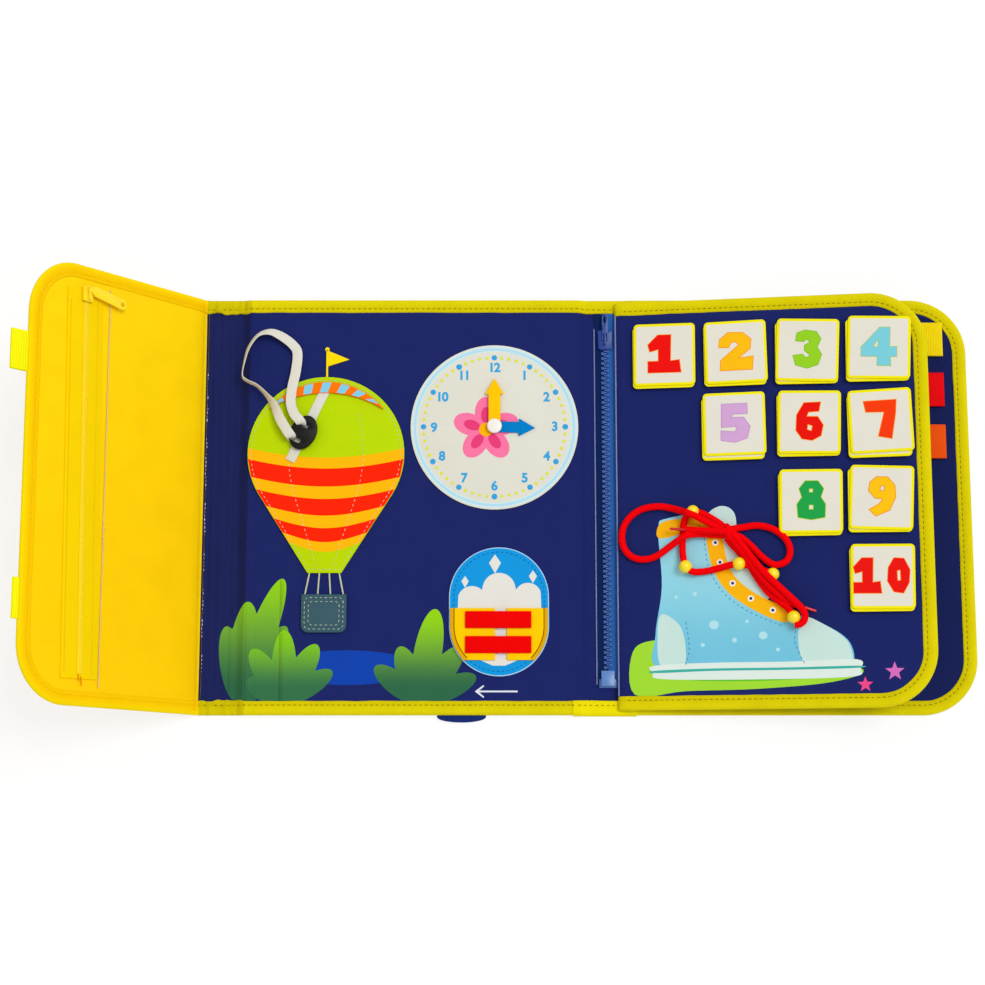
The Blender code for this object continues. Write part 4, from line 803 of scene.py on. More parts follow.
def tube(points: Sequence[Place], radius: float | Sequence[float], sides: int = 12) -> Mesh:
    """A round tube along points, with closed ends and a map of its length and turn.

    Args:
        points: The centreline.
        radius: One radius, or one for each point.
        sides: Faces round the tube.

    Returns:
        The mesh.
    """
    places = [Vector(point) for point in points]
    radii = [radius] * len(places) if isinstance(radius, float) else radius
    turns = [2 * math.pi * step / sides for step in range(sides)]
    edit = mapped_edit()
    side = Vector((0.0, 0.0, 1.0))
    rings = []
    for index, (place, wide) in enumerate(zip(places, radii)):
        ahead = (places[min(index + 1, len(places) - 1)] - places[max(index - 1, 0)]).normalized()
        side = (side - ahead * side.dot(ahead)).normalized()
        other = ahead.cross(side)
        spots = [place + (side * math.cos(a) + other * math.sin(a)) * wide for a in turns]
        rings.append([edit.verts.new(spot) for spot in spots])
    skinned(edit, rings, places, 1 / sides)
    return tidied(closed(edit), 60.0)


def piped(finish: Finish, points: Sequence[Place], radius: float, sides: int = 8) -> Mesh:
    """A tube with its finish."""
    return coloured(tube(points, radius, sides), finish)


def evenly(route: Sequence[Sequence[float]], spacing: float) -> list[tuple[float, ...]]:
    """Evenly spaced points on the smooth curve through a route.

    Args:
        route: The route's own points; the first three numbers are the place.
        spacing: Distance between points.

    Returns:
        The points.
    """
    fine = [Vector(point) for point in curved(route, steps=16)]
    marks = [0.0]
    for first, second in zip(fine, fine[1:]):
        marks.append(marks[-1] + Vector((second - first)[:3]).length)
    count = max(1, round(marks[-1] / spacing))
    points, index = [], 0
    for step in range(count + 1):
        mark = marks[-1] * step / count
        while index < len(marks) - 2 and marks[index + 1] < mark:
            index += 1
        share = (mark - marks[index]) / max(marks[index + 1] - marks[index], 1e-9)
        points.append(tuple(fine[index].lerp(fine[index + 1], share)))
    return points


class Layout:
    """Folds, middles and the leaves' turns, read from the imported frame."""

    def __init__(self) -> None:
        """Read the joints' places."""
        joints = {joint["name"]: joint for joint in frame["record"]["behaviour"]["joints"]}
        folds = ("flap_fold", "gusset_fold", "spine_fold", "cover_fold", "page_turn")
        places = [joints[name]["pos_m"] for name in folds]
        self.flap_fold, self.gusset_fold, self.spine_fold = [place[0] for place in places[:3]]
        self.cover_fold, self.page_fold = [place[0] for place in places[3:]]
        self.fold_height = places[0][2]
        flap_normal = joints["flap_pull_swing"]["axis"]
        page_normal = joints["number_tile_1_lift"]["axis"]
        self.back_middle = (self.gusset_fold + self.spine_fold) / 2
        self.spine_middle = (self.spine_fold + self.cover_fold) / 2
        self.cover_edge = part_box("cover_binding")[1].x
        self.flap_raise = math.atan2(flap_normal[0], flap_normal[2])
        self.flap_matrix = self.turned((self.flap_fold, 0.0, self.fold_height), self.flap_raise)
        self.page_matrix = self.turned(places[-1], math.atan2(page_normal[0], page_normal[2]))

    @staticmethod
    def turned(place: Sequence[float], angle: float) -> Matrix:
        """A turn about Y through a place."""
        there = Matrix.Translation(place)
        return there @ Matrix.Rotation(angle, 4, "Y") @ there.inverted()


@dataclass
class Studio:
    """Camera, light and the plain floor."""

    eye: Place = (-0.01245, -0.25356, 1.48903)
    tilt: float = math.radians(10)
    lens: float = 77.3
    floor_size: float = 8.0
    world_light: float = 0.66
    sun_light: float = 1.40
    white: tuple[float, ...] = (1.0, 1.0, 1.0, 1.0)

    @staticmethod
    def place(data: bpy.types.ID, place: Place, turn: Place) -> Piece:
        """Put a camera, a light or a mesh into the scene."""
        item = bpy.data.objects.new(data.name, data)
        item.location, item.rotation_euler = place, turn
        bpy.context.scene.collection.objects.link(item)
        return item

    def light(self) -> None:
        """A soft even world and one broad sun from the upper right."""
        world = bpy.data.worlds.new("studio")
        world.use_nodes = True
        bpy.context.scene.world = world
        tree = Nodes(world.node_tree)
        tree.nodes.clear()
        soft, plain = (
            tree.node("ShaderNodeBackground", {"Color": self.white, "Strength": strength}).outputs[0]
            for strength in (self.world_light, 1.0)
        )
        seen = tree.node("ShaderNodeLightPath").outputs["Is Camera Ray"]
        blend = tree.node("ShaderNodeMixShader", {0: seen, 1: soft, 2: plain})
        tree.node("ShaderNodeOutputWorld", {0: blend.outputs[0]})
        sun = bpy.data.lights.new("window", "SUN")
        sun.energy, sun.angle = self.sun_light, math.radians(28)
        self.place(sun, (0.0, 0.0, 0.0), (math.radians(-12), math.radians(24), 0.0))

    def floor(self) -> None:
        """A white floor that keeps a faint shadow."""
        edit = bmesh.new()
        matrix = Matrix.Translation((0.0, 0.0, -0.0002))
        bmesh.ops.create_grid(edit, x_segments=4, y_segments=4, size=self.floor_size / 2, matrix=matrix)
        mesh = closed(edit)
        mesh.name = "floor"
        made = Shader("floor_white")
        for label, value in (("Base Color", (0.93, 0.93, 0.93, 1.0)), ("Roughness", 1.0),
            ("Specular IOR Level", 0.0)):
            made.feed(made.surface.inputs[label], value)
        bright = made.node("ShaderNodeEmission", {"Color": self.white, "Strength": 1.03}).outputs[0]
        rays = made.node("ShaderNodeLightPath").outputs
        glossy = made.math("MAXIMUM", rays["Is Glossy Ray"], rays["Is Transmission Ray"])
        seen = made.math("MULTIPLY", made.math("MAXIMUM", rays["Is Camera Ray"], glossy), 0.72)
        blend = made.node("ShaderNodeMixShader", {0: seen, 1: made.surface.outputs[0], 2: bright})
        made.feed(made.nodes["Material Output"].inputs["Surface"], blend.outputs[0])
        mesh.materials.append(made.material)
        self.place(mesh, (0.0, 0.0, 0.0), (0.0, 0.0, 0.0))

    def build(self) -> None:
        """Camera at the photograph's view, light and floor."""
        data = bpy.data.cameras.new("view")
        data.lens, data.sensor_width = self.lens, 36.0
        bpy.context.scene.camera = self.place(data, self.eye, (self.tilt, 0.0, 0.0))
        self.light()
        self.floor()
        bpy.context.scene.view_settings.view_transform = "Standard"


@dataclass
class ClothLeaf:
    """One length of cloth between two lines across the object, with tape on its bound edges."""

    name: str
    start: float
    end: float
    bodies: tuple[str, ...]
    top: Callable[[float], float]
    tape_top: Callable[[float], float]
    cloth: Finish
    tape: Finish
    thread: Finish
    half: float = 0.150
    base: float = 0.0
    radius: float = 0.040
    free: Side = Side.NONE
    pitch: float = 0.004
    matrix: Matrix = field(default_factory=Matrix)
    bend: Callable[[Vector], Vector] | None = None
    ripple: Callable[[float, float], float] | None = None
    loose: Callable[[float], float] | None = None
    sides: tuple[int, ...] = (1, -1)
    seam_share: float = 0.70
    tape_width: float = 0.010
    tuck: float = 0.002
    drop: float = 0.0005
    fold_height: float = 0.0014

    profile_shares: tuple[Point, ...] = (
        (1.0, 0.80), (0.985, 0.95), (0.93, 1.0), (0.80, 0.985), (0.70, 0.93), (0.61, 0.99), (0.42, 1.0),
        (0.22, 0.97), (0.10, 0.88), (0.03, 0.70), (0.0, 0.5), (0.03, 0.28), (0.12, 0.10), (0.26, 0.015),
        (0.96, 0.0), (1.0, 0.12),
    )

    def columns(self) -> list[float]:
        """Places of the mesh's columns."""
        count = max(2, round((self.end - self.start) / self.pitch))
        return [self.start + (self.end - self.start) * step / count for step in range(count + 1)]

    def rows(self) -> list[float]:
        """Rows as shares of the reach, the same on every leaf."""
        count = 60
        return [2 * step / count - 1 for step in range(count + 1)]

    def reach(self, along: float, inset: float) -> float:
        """How far the leaf reaches from its middle line, drawn in by an inset."""
        full = self.half - inset
        if self.free is Side.NONE:
            return full
        turn = self.end - self.radius if self.free is Side.RIGHT else self.start + self.radius
        past = (along - turn) * self.free.value
        if past <= 0:
            return full
        radius = self.radius - inset
        return full - radius + math.sqrt(max(radius**2 - past**2, 0.0))

    def edge_distance(self, along: float, across: float) -> float:
        """Distance from the leaf's bound edge."""
        gap = self.half - abs(across)
        if self.free is Side.NONE:
            return gap
        end = self.end if self.free is Side.RIGHT else self.start
        side = (end - along) * self.free.value
        if gap < self.radius and side < self.radius:
            return self.radius - math.hypot(self.radius - gap, self.radius - side)
        return min(gap, side)

    def surface(self, along: float, across: float) -> float:
        """Height of the cloth's top."""
        inside = max(self.edge_distance(along, across) - self.tape_width, 0.0)
        height = self.top(along) - self.drop * math.exp(-inside / 0.006)
        height += 0.00008 * noise.noise(Vector((along / 0.035, across / 0.035, 3.1)))
        if self.ripple is not None:
            height += self.ripple(along, across)
        return height

    def settle(self, mesh: Mesh) -> Mesh:
        """Bend and turn a mesh from the flat lie to where the leaf lies."""
        if self.bend is not None:
            for vertex in mesh.vertices:
                vertex.co = self.bend(vertex.co)
        mesh.transform(self.matrix)
        return mesh

    def add(self, label: str, mesh: Mesh, slot: str = "") -> Piece:
        """Settle a mesh and hang it on the leaf's body; with two bodies it stays in place on neither."""
        return add_piece(f"{self.name}_{label}", self.settle(mesh), self.bodies)

    def make_cloth(self) -> Piece:
        """The closed padded sheet of the leaf."""
        hidden = self.tape_width - self.tuck
        low = self.start + (hidden if self.free is Side.LEFT else 0.0)
        high = self.end - (hidden if self.free is Side.RIGHT else 0.0)
        columns = sorted({min(max(u, low), high) for u in self.columns()})
        rows = self.rows()
        points, faces = [], []
        for lift in (True, False):
            for u in columns:
                reach = self.reach(u, hidden)
                for share in rows:
                    y = share * reach
                    points.append((u, y, self.surface(u, y) if lift else self.base + 0.0001))
        wide, deep = len(rows), len(columns)
        under = wide * deep
        for i in range(deep - 1):
            for j in range(wide - 1):
                a, b = i * wide + j, (i + 1) * wide + j
                faces.append((a, b, b + 1, a + 1))
                faces.append((under + a, under + a + 1, under + b + 1, under + b))
        rim = [i * wide for i in range(deep)] + [(deep - 1) * wide + j for j in range(1, wide)]
        rim += [i * wide + wide - 1 for i in range(deep - 2, -1, -1)] + [j for j in range(wide - 2, 0, -1)]
        for first, second in zip(rim, rim[1:] + rim[:1]):
            faces.append((first, first + under, second + under, second))
        mesh = bpy.data.meshes.new(self.name)
        mesh.from_pydata(points, [], faces)
        stamped(tidied(mesh, 50.0))
        return self.add("cloth", coloured(mesh, self.cloth), self.cloth.slot)

    def edge_paths(self) -> list[list[tuple[float, float, float, float]]]:
        """The bound edges as points with their inward direction."""
        pitch = min(self.pitch, 0.003)
        count = max(2, round((self.end - self.start) / pitch))
        straight = [self.start + (self.end - self.start) * step / count for step in range(count + 1)]
        if self.free is Side.NONE:
            return [[(u, side * self.half, 0.0, -side) for u in straight] for side in self.sides]
        way = self.free.value
        turn = self.end - self.radius if way > 0 else self.start + self.radius
        fold = self.start if way > 0 else self.end
        count = max(2, round(abs(turn - fold) / pitch))
        path = [(fold + (turn - fold) * step / count, self.half, 0.0, -1.0) for step in range(count)]
        steps = 20
        for side in (1, -1):
            middle = self.half - self.radius
            for step in range(steps + 1):
                share = step / steps if side > 0 else 1 - step / steps
                angle = math.pi / 2 * (1 - share)
                cos, sin = math.cos(angle) * way, math.sin(angle) * side
                path.append((turn + self.radius * cos, side * middle + self.radius * sin, -cos, -sin))
            if side > 0:
                length = 2 * middle
                outer = turn + way * self.radius
                count_down = round(length / pitch)
                path += [(outer, middle - length * s / count_down, -way, 0.0) for s in range(1, count_down)]
        path += [(turn + (fold - turn) * step / count, -self.half, 0.0, 1.0) for step in range(1, count + 1)]
        return [path]

    def make_tape(self) -> Piece:
        """The folded tape round the bound edges."""
        return self.add("tape", coloured(self.tape_mesh(), self.tape), self.tape.slot)

    def tape_mesh(self) -> Mesh:
        """The tape's mesh in its flat lie."""
        edit = mapped_edit()
        for path in self.edge_paths():
            rings = []
            for u, y, inward_u, inward_y in path:
                top = self.tape_top(u)
                wander = 0.0003 * noise.noise(Vector((u / 0.012, y / 0.012, 7.7)))
                puff = 0.00012 * noise.noise(Vector((u / 0.009, y / 0.009, 1.3)))
                slack = self.loose(u) if self.loose is not None else 0.0
                wander += 0.0024 * slack * noise.noise(Vector((u / 0.0060, y, 3.3)))
                puff += 0.0020 * slack * noise.noise(Vector((u / 0.0038, y, 5.2)))
                if self.ripple is not None:
                    puff += self.ripple(u, y)
                ring = []
                for share, level in self.profile_shares:
                    inset = self.tape_width * share + (wander if share > 0.9 else 0.0)
                    height = self.base + level * (top - self.base) + (puff if level > 0.5 else 0.0)
                    ring.append(edit.verts.new((u + inward_u * inset, y + inward_y * inset, height)))
                rings.append(ring)
            skinned(edit, rings, [Vector(corner[:2]) for corner in path], 0.0016)
        return tidied(closed(edit), 55.0)

    def make_stitches(self, sown: Sown, pitch: float = 0.0038) -> Piece:
        """The seam near the tape's inner edge."""
        inset = self.tape_width * self.seam_share
        paths = []
        for path in self.edge_paths():
            line = []
            for u, y, inward_u, inward_y in path:
                lift = self.ripple(u, y) if self.ripple is not None else 0.0
                height = self.base + 0.94 * (self.tape_top(u) - self.base) + lift + 0.00005
                line.append((u + inward_u * inset, y + inward_y * inset, height))
            paths.append(line)
        mesh = sown.grow(paths, stitch_shape(), self.thread, pitch, 0.2)
        return self.add("seam", mesh)

    def printed(
        self, label: str, loops: Sequence[Loop], finish: Finish, lift: float = 0.0001
    ) -> Piece | None:
        """A print that follows the cloth, cut to this leaf.

        Args:
            label: The print's name.
            loops: Its outline and holes.
            finish: Its finish.
            lift: How far it stands over the cloth.

        Returns:
            The piece, or nothing where the outline misses the leaf.
        """
        mesh = plate(loops, 0.0, 0.0001)
        edit = opened(mesh)
        under = [face for face in edit.faces if face.normal.z < 0.5]
        bmesh.ops.delete(edit, geom=under, context="FACES")
        for place, way in ((self.start, -1.0), (self.end, 1.0)):
            bmesh.ops.bisect_plane(
                edit, geom=edit.verts[:] + edit.edges[:] + edit.faces[:], dist=0.0000001,
                plane_co=(place, 0.0, 0.0), plane_no=(way, 0.0, 0.0), clear_outer=True,
            )
        if not edit.faces:
            edit.free()
            return None
        low = min(vertex.co.x for vertex in edit.verts)
        high = max(vertex.co.x for vertex in edit.verts)
        bottom = min(vertex.co.y for vertex in edit.verts)
        top = max(vertex.co.y for vertex in edit.verts)
        lines = [((u, 0.0, 0.0), (1.0, 0.0, 0.0)) for u in self.columns() if low < u < high]
        reach = self.half - self.tape_width + self.tuck
        lines += [((0.0, s * reach, 0.0), (0.0, 1.0, 0.0)) for s in self.rows() if bottom < s * reach < top]
        for place, normal in lines:
            bmesh.ops.bisect_plane(
                edit, geom=edit.verts[:] + edit.edges[:] + edit.faces[:], dist=0.0000001,
                plane_co=place, plane_no=normal,
            )
        for vertex in edit.verts:
            vertex.co.z = self.surface(vertex.co.x, vertex.co.y) + lift
        mesh = thickened(stamped(closed(edit, mesh)), lift, -1.0)
        return self.add(label, coloured(mesh, finish), finish.slot)


def eased(knots: Sequence[Point], place: float) -> float:
    """Ease between heights given at places.

    Args:
        knots: Places and heights in rising order.
        place: Where the height is asked.

    Returns:
        The height.
    """
    if place <= knots[0][0]:
        return knots[0][1]
    for (a, low), (b, high) in zip(knots, knots[1:]):
        if place <= b:
            share = (place - a) / (b - a)
            return low + (high - low) * share * share * (3 - 2 * share)
    return knots[-1][1]


@dataclass
class ClothBody:
    """The backpack's cloth from the flap to the cover, one length after another, and the page."""

    layout: Layout
    sown: Sown
    thin: float = 0.0014
    back_top: float = 0.00545
    leaf_top: float = 0.0039
    tape_lift: float = 0.0001
    thin_tape: float = 0.0021
    fold_reach: float = 0.005
    slope: float = 0.008
    page_base: float = 0.0043
    page_top: float = 0.00825
    page_margin: float = 0.003
    page_width: float = 0.213
    root_width: float = 0.0072
    overlap_start: float = 0.0439
    leaves: dict[str, ClothLeaf] = field(default_factory=dict)

    def heights(self, rise: float, thin: float) -> list[Point]:
        """Heights of the cloth or of the tape along the whole chain."""
        lay, s = self.layout, self.slope
        back, leaf = self.back_top + rise, self.leaf_top + rise
        return [
            (lay.flap_fold - s, leaf), (lay.flap_fold + 0.001, thin), (lay.gusset_fold + 0.0005, thin),
            (lay.gusset_fold + s, back), (lay.spine_fold - s, back), (lay.spine_fold - 0.0005, thin),
            (lay.cover_fold + 0.0008, thin), (lay.cover_fold + s, leaf),
        ]

    def creases(self, along: float, across: float) -> float:
        """Creases that run up the gusset, and the wrinkled tape over it."""
        lay = self.layout
        inside = min(max((along - lay.flap_fold) / 0.004, 0.0), 1.0)
        inside *= min(max((lay.gusset_fold + 0.030 - along) / 0.020, 0.0), 1.0)
        wander = 0.0016 * noise.noise(Vector((across / 0.06, 4.4, 0.0)))
        height = 0.0
        for index, place in enumerate((0.0045, 0.0105, 0.0165, 0.0215, 0.0300, 0.0385)):
            off = along - lay.flap_fold - place - wander * (1 if index % 2 else -1)
            strength = 0.5 + 0.5 * noise.noise(Vector((across / 0.045, index * 2.3, 9.0)))
            height -= 0.00045 * strength * math.exp(-((off / 0.0009) ** 2))
            height += 0.00022 * strength * math.exp(-(((off - 0.0020) / 0.0016) ** 2))
        rough = 0.00016 * noise.noise(Vector((along / 0.006, across / 0.022, 2.0)))
        return (height + rough) * inside

    def slack(self, along: float) -> float:
        """How crumpled the tape is: most over the gusset, not at all on the boards."""
        lay = self.layout
        rise = min(max((along - lay.flap_fold + 0.002) / 0.006, 0.0), 1.0)
        return rise * min(max((lay.gusset_fold + 0.012 - along) / 0.012, 0.0), 1.0)

    def bent(self, point: Vector) -> Vector:
        """Bend the flat chain round the flap's fold, up to the flap's raise."""
        lay, reach = self.layout, self.fold_reach
        raise_turn = lay.flap_raise
        radius = reach / math.tan(raise_turn / 2)
        share = min(max((lay.flap_fold + reach - point.x) / (2 * reach), 0.0), 1.0)
        turn = raise_turn * share
        start = lay.flap_fold + reach
        rise = lay.fold_height + radius * (1 - math.cos(turn))
        neutral = Vector((start - radius * math.sin(turn), point.y, rise))
        return neutral + Vector((math.sin(turn), 0.0, math.cos(turn))) * (point.z - lay.fold_height)

    def chain(self) -> list[ClothLeaf]:
        """Every length of the chain, left to right, and the page."""
        lay, r, s = self.layout, self.fold_reach, self.slope
        cloth_heights = self.heights(0.0, self.thin)
        tape_heights = self.heights(self.tape_lift, self.thin_tape)

        def cloth(u: float) -> float:
            """Height of the cloth at a place along the chain."""
            return eased(cloth_heights, u)

        def tape(u: float) -> float:
            """Height of the tape at a place along the chain."""
            return eased(tape_heights, u)

        def page_cloth(u: float) -> float:
            """Height of the page's cloth in its flat lie."""
            return self.page_top

        def page_tape(u: float) -> float:
            """Height of the page's tape in its flat lie."""
            return self.page_top + self.tape_lift

        def root_cloth(u: float) -> float:
            """Height of the strip that the page hangs on."""
            rise = math.sqrt(min((u - lay.page_fold + self.root_width) / 0.006, 1.0))
            return self.page_top - 0.0030 * (1 - rise)

        def root_tape(u: float) -> float:
            """Height of the tape on that strip."""
            return root_cloth(u) + self.tape_lift

        common = {"top": cloth, "tape_top": tape}
        navy = {"cloth": LOOKS.navy, "tape": LOOKS.tape, "thread": LOOKS.thread}
        cover_cloths = {**navy, "cloth": LOOKS.cover_navy}
        glossy = {"cloth": LOOKS.gusset, "tape": LOOKS.loose_tape, "thread": LOOKS.thread,
            "loose": self.slack}
        yellow = {"cloth": LOOKS.lining, "tape": LOOKS.flap_tape, "thread": LOOKS.flap_thread}
        flap_free = lay.flap_fold - 0.162
        creased = {"ripple": self.creases, "pitch": 0.001}
        near, board, page_half = 0.004, lay.gusset_fold + 0.032, 0.150 - self.page_margin
        return [
            ClothLeaf(
                "flap", flap_free, lay.flap_fold - r, ("flap",), **common, **yellow, free=Side.LEFT,
                matrix=lay.flap_matrix),
            ClothLeaf(
                "flap_bend", lay.flap_fold - r, lay.flap_fold, ("gusset", "flap"), **common, **yellow,
                pitch=0.0008, bend=self.bent),
            ClothLeaf(
                "gusset_bend", lay.flap_fold, lay.flap_fold + r, ("gusset", "flap"), **common, **glossy,
                ripple=self.creases, pitch=0.0008, bend=self.bent),
            ClothLeaf(
                "gusset", lay.flap_fold + r, lay.gusset_fold - near, ("gusset",), **common, **glossy,
                **creased),
            ClothLeaf(
                "back_bend", lay.gusset_fold - near, lay.gusset_fold + s, ("gusset", "back"), **common,
                **glossy, **creased),
            ClothLeaf(
                "back_edge", lay.gusset_fold + s, board, ("back",), **common, **navy, **creased),
            ClothLeaf("back", board, lay.spine_fold - s, ("back",), **common, **navy),
            ClothLeaf(
                "spine_bend", lay.spine_fold - s, lay.spine_fold + near, ("back", "spine"), **common, **navy,
                pitch=0.001),
            ClothLeaf(
                "spine", lay.spine_fold + near, lay.cover_fold - near, ("spine",), **common, **navy,
                pitch=0.002),
            ClothLeaf(
                "cover_bend", lay.cover_fold - near, lay.cover_fold + s, ("spine", "cover"), **common, **navy,
                pitch=0.001),
            ClothLeaf(
                "cover", lay.cover_fold + s, lay.cover_edge, ("cover",), **common, **cover_cloths,
                free=Side.RIGHT),
            ClothLeaf(
                "page_root", lay.page_fold - self.root_width, lay.page_fold, ("spine", "cover"), root_cloth,
                root_tape, **navy, half=page_half, base=0.0024, pitch=0.0012),
            ClothLeaf(
                "page", lay.page_fold, lay.page_fold + self.page_width, ("page",), page_cloth, page_tape,
                **navy, half=page_half, base=self.page_base, free=Side.RIGHT, matrix=lay.page_matrix),
        ]

    def ends_of(self, leaf: ClothLeaf) -> tuple[Place, Place]:
        """Where a bending length starts and ends in the world."""
        lay = self.layout
        if leaf.bend is None:
            return (leaf.start, 0.0, lay.fold_height), (leaf.end, 0.0, lay.fold_height)
        r = self.fold_reach
        near = (lay.flap_fold + r, 0.0, lay.fold_height)
        far = tuple(self.bent(Vector((lay.flap_fold - r, 0.0, lay.fold_height))))
        return near, far

    def build(self) -> None:
        """Make cloth, tape and seams of every length."""
        stands_for = {
            "flap": ("flap_panel",), "gusset": ("gusset_strip",), "back": ("back_panel",),
            "spine": ("spine_strip",), "cover": ("cover_panel",), "page": ("page_panel",),
        }
        taped = {
            "flap": ("flap_binding",), "back": ("back_binding_upper", "back_binding_lower"),
            "cover": ("cover_binding",), "page": ("page_binding",),
        }
        for leaf in self.chain():
            self.leaves[leaf.name] = leaf
            if len(leaf.bodies) > 1:
                ends = self.ends_of(leaf)
                leaf.add = self.bending_add(leaf, ends)
            cloth = leaf.make_cloth()
            tape = leaf.make_tape()
            if leaf.name != "page_root":
                leaf.make_stitches(self.sown)
            if leaf.name in stands_for:
                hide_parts(*stands_for[leaf.name])
            if leaf.name in taped:
                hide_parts(*taped[leaf.name])
        self.overlap()
        self.fold_seam()
        self.root_piping()

    def overlap(self) -> None:
        """The second layer of tape on the lower edge, from the back over the spine."""
        for name in ("back", "spine_bend", "spine", "cover_bend"):
            leaf = self.leaves[name]
            start = max(leaf.start, self.overlap_start)
            top = leaf.tape_top
            extra = 0.0002 if name == "cover_bend" else 0.0007
            layer = replace(
                leaf, name=f"{name}_overlap", start=start, half=leaf.half + 0.0007, sides=(-1,),
                tape_width=leaf.tape_width + 0.0009, tape_top=lambda u, top=top, extra=extra: top(u) + extra,
                tape=LOOKS.bright_tape,
            )
            layer.make_tape()
            layer.make_stitches(self.sown)

    def fold_seam(self) -> None:
        """The piping where flap and gusset meet, near-black as painted shade of the fold's crease, with pale
        flakes on it that are painted glints on the clear film.
        """
        leaf, lay = self.leaves["gusset_bend"], self.layout
        line, flakes = [], []
        for step in range(101):
            y = 0.139 - 0.278 * step / 100
            x = lay.flap_fold + 0.0014 + 0.0005 * noise.noise(Vector((y / 0.02, 0.3, 0.0)))
            line.append((x, y, self.thin + 0.0002))
            if noise.noise(Vector((y / 0.012, 6.0, 0.0))) > -0.05 and -0.122 < y < 0.105:
                drift = 0.0010 * noise.noise(Vector((y / 0.004, 2.0, 0.0)))
                flakes.append([(x + 0.0003 + drift, y, self.thin + 0.00095)])
        leaf.add("piping", piped(LOOKS.dark_piping, line, 0.0008, 10))
        # Pale flakes along the fold: painted glints.
        flake = stitch_shape(0.0007, 0.0024, 0.00022)
        glints = Sown(along=False).grow(flakes, flake, LOOKS.glint, wander=0.75)
        leaf.add("glints", glints)

    def root_piping(self) -> None:
        """The clear piping on the outer edge of the strip that the page hangs on."""
        lay = self.layout
        x, reach = lay.page_fold - self.root_width + 0.0003, 0.150 - self.page_margin - 0.010
        line = [(x, -reach + 2 * reach * step / 40, 0.0059) for step in range(41)]
        add_piece("root_piping", piped(LOOKS.piping, line, 0.0006, 8), ["spine"])

    @staticmethod
    def bending_add(leaf: ClothLeaf, ends: tuple[Place, Place]) -> Callable[..., Piece]:
        """A way to put pieces of a bending length in place across its fold."""

        def add(label: str, mesh: Mesh, slot: str = "") -> Piece:
            """Settle a mesh and put it in place across the fold, on neither body."""
            return add_piece(f"{leaf.name}_{label}", leaf.settle(mesh), leaf.bodies)

        return add

    def print_all(self, label: str, loops: Sequence[Loop], finish: Finish, lift: float = 0.0001) -> None:
        """A print on the chain, cut at every fold that it crosses."""
        for leaf in self.leaves.values():
            if leaf.name not in ("page", "page_root", "flap", "flap_bend"):
                leaf.printed(label, loops, finish, lift)


@dataclass
class GardenPrints:
    """Plants, a pond and an arrow printed on the back panel."""

    cloth: ClothBody
    ground: float = -0.1405
    pond: Point = (-0.0460, -0.1168)
    pond_size: Point = (0.0500, 0.0122)
    # Place, height, and the leaves of each plant: lean in degrees, length and breadth as shares of the height
    plants: tuple[tuple[float, float, tuple[Place, ...]], ...] = (
        (-0.1230, 0.098, ((84, 0.72, 0.21), (99, 0.55, 0.17), (70, 0.94, 0.19), (57, 0.64, 0.18),
        (42, 0.42, 0.19))),
        (-0.0900, 0.050, ((90, 1.00, 0.34), (122, 0.86, 0.34), (60, 0.92, 0.34), (32, 0.80, 0.30),
        (150, 0.6, 0.3))),
        (0.0050, 0.066, ((80, 1.00, 0.30), (110, 0.62, 0.26), (52, 0.74, 0.26), (24, 0.66, 0.24),
        (142, 0.6, 0.24))),
    )

    def plant(self, x: float, tall: float, leaves: Sequence[Place]) -> Loop:
        """The outline of a fan of rounded leaves that grow from one foot.

        Args:
            x: Place of the foot.
            tall: Length that the leaves' shares are measured by.
            leaves: Lean in degrees, length and breadth of each leaf.

        Returns:
            The outline's points.
        """
        points: Loop = []
        for step in range(181):
            turn = math.radians(step)
            reach = 0.004
            for lean, length, breadth in leaves:
                off = turn - math.radians(lean)
                if math.cos(off) > 0:
                    along = math.cos(off) / (length * tall / 2)
                    across = math.sin(off) / (breadth * tall / 2)
                    reach = max(reach, 2 * along / (along**2 + across**2))
            points.append((x + reach * math.cos(turn), self.ground + reach * math.sin(turn)))
        return points

    def build(self) -> None:
        """Print the garden."""
        middle = self.cloth.layout.back_middle
        pond = LOOKS.ink("pond_print", tint(18, 66, 172))
        self.cloth.print_all("pond", [oval((middle + self.pond[0], self.pond[1]), *self.pond_size, 64)], pond)
        for index, (x, tall, leaves) in enumerate(self.plants):
            fade = (self.ground + 0.008, self.ground + tall)
            dark, light = ((52, 112, 74), (134, 206, 24)) if index % 2 else ((46, 104, 72), (150, 216, 12))
            finish = LOOKS.ink(f"plant_print_{index + 1}", tint(*dark), tint(*light), fade)
            outline = self.plant(middle + x, tall, leaves)
            self.cloth.print_all(f"plant_{index + 1}", [outline], finish, 0.00016 + 0.00004 * index)
        arrow_y, left, right = -0.1335, middle + 0.044, middle + 0.074
        arrow = [
            (left, arrow_y), (left + 0.006, arrow_y + 0.0045), (left + 0.0066, arrow_y + 0.0037),
            (left + 0.0030, arrow_y + 0.0006), (right, arrow_y + 0.0006), (right, arrow_y - 0.0006),
            (left + 0.0030, arrow_y - 0.0006), (left + 0.0066, arrow_y - 0.0037),
            (left + 0.006, arrow_y - 0.0045),
        ]
        self.cloth.leaves["back"].printed("arrow", [arrow], LOOKS.ink("arrow_print", tint(226, 230, 240)))


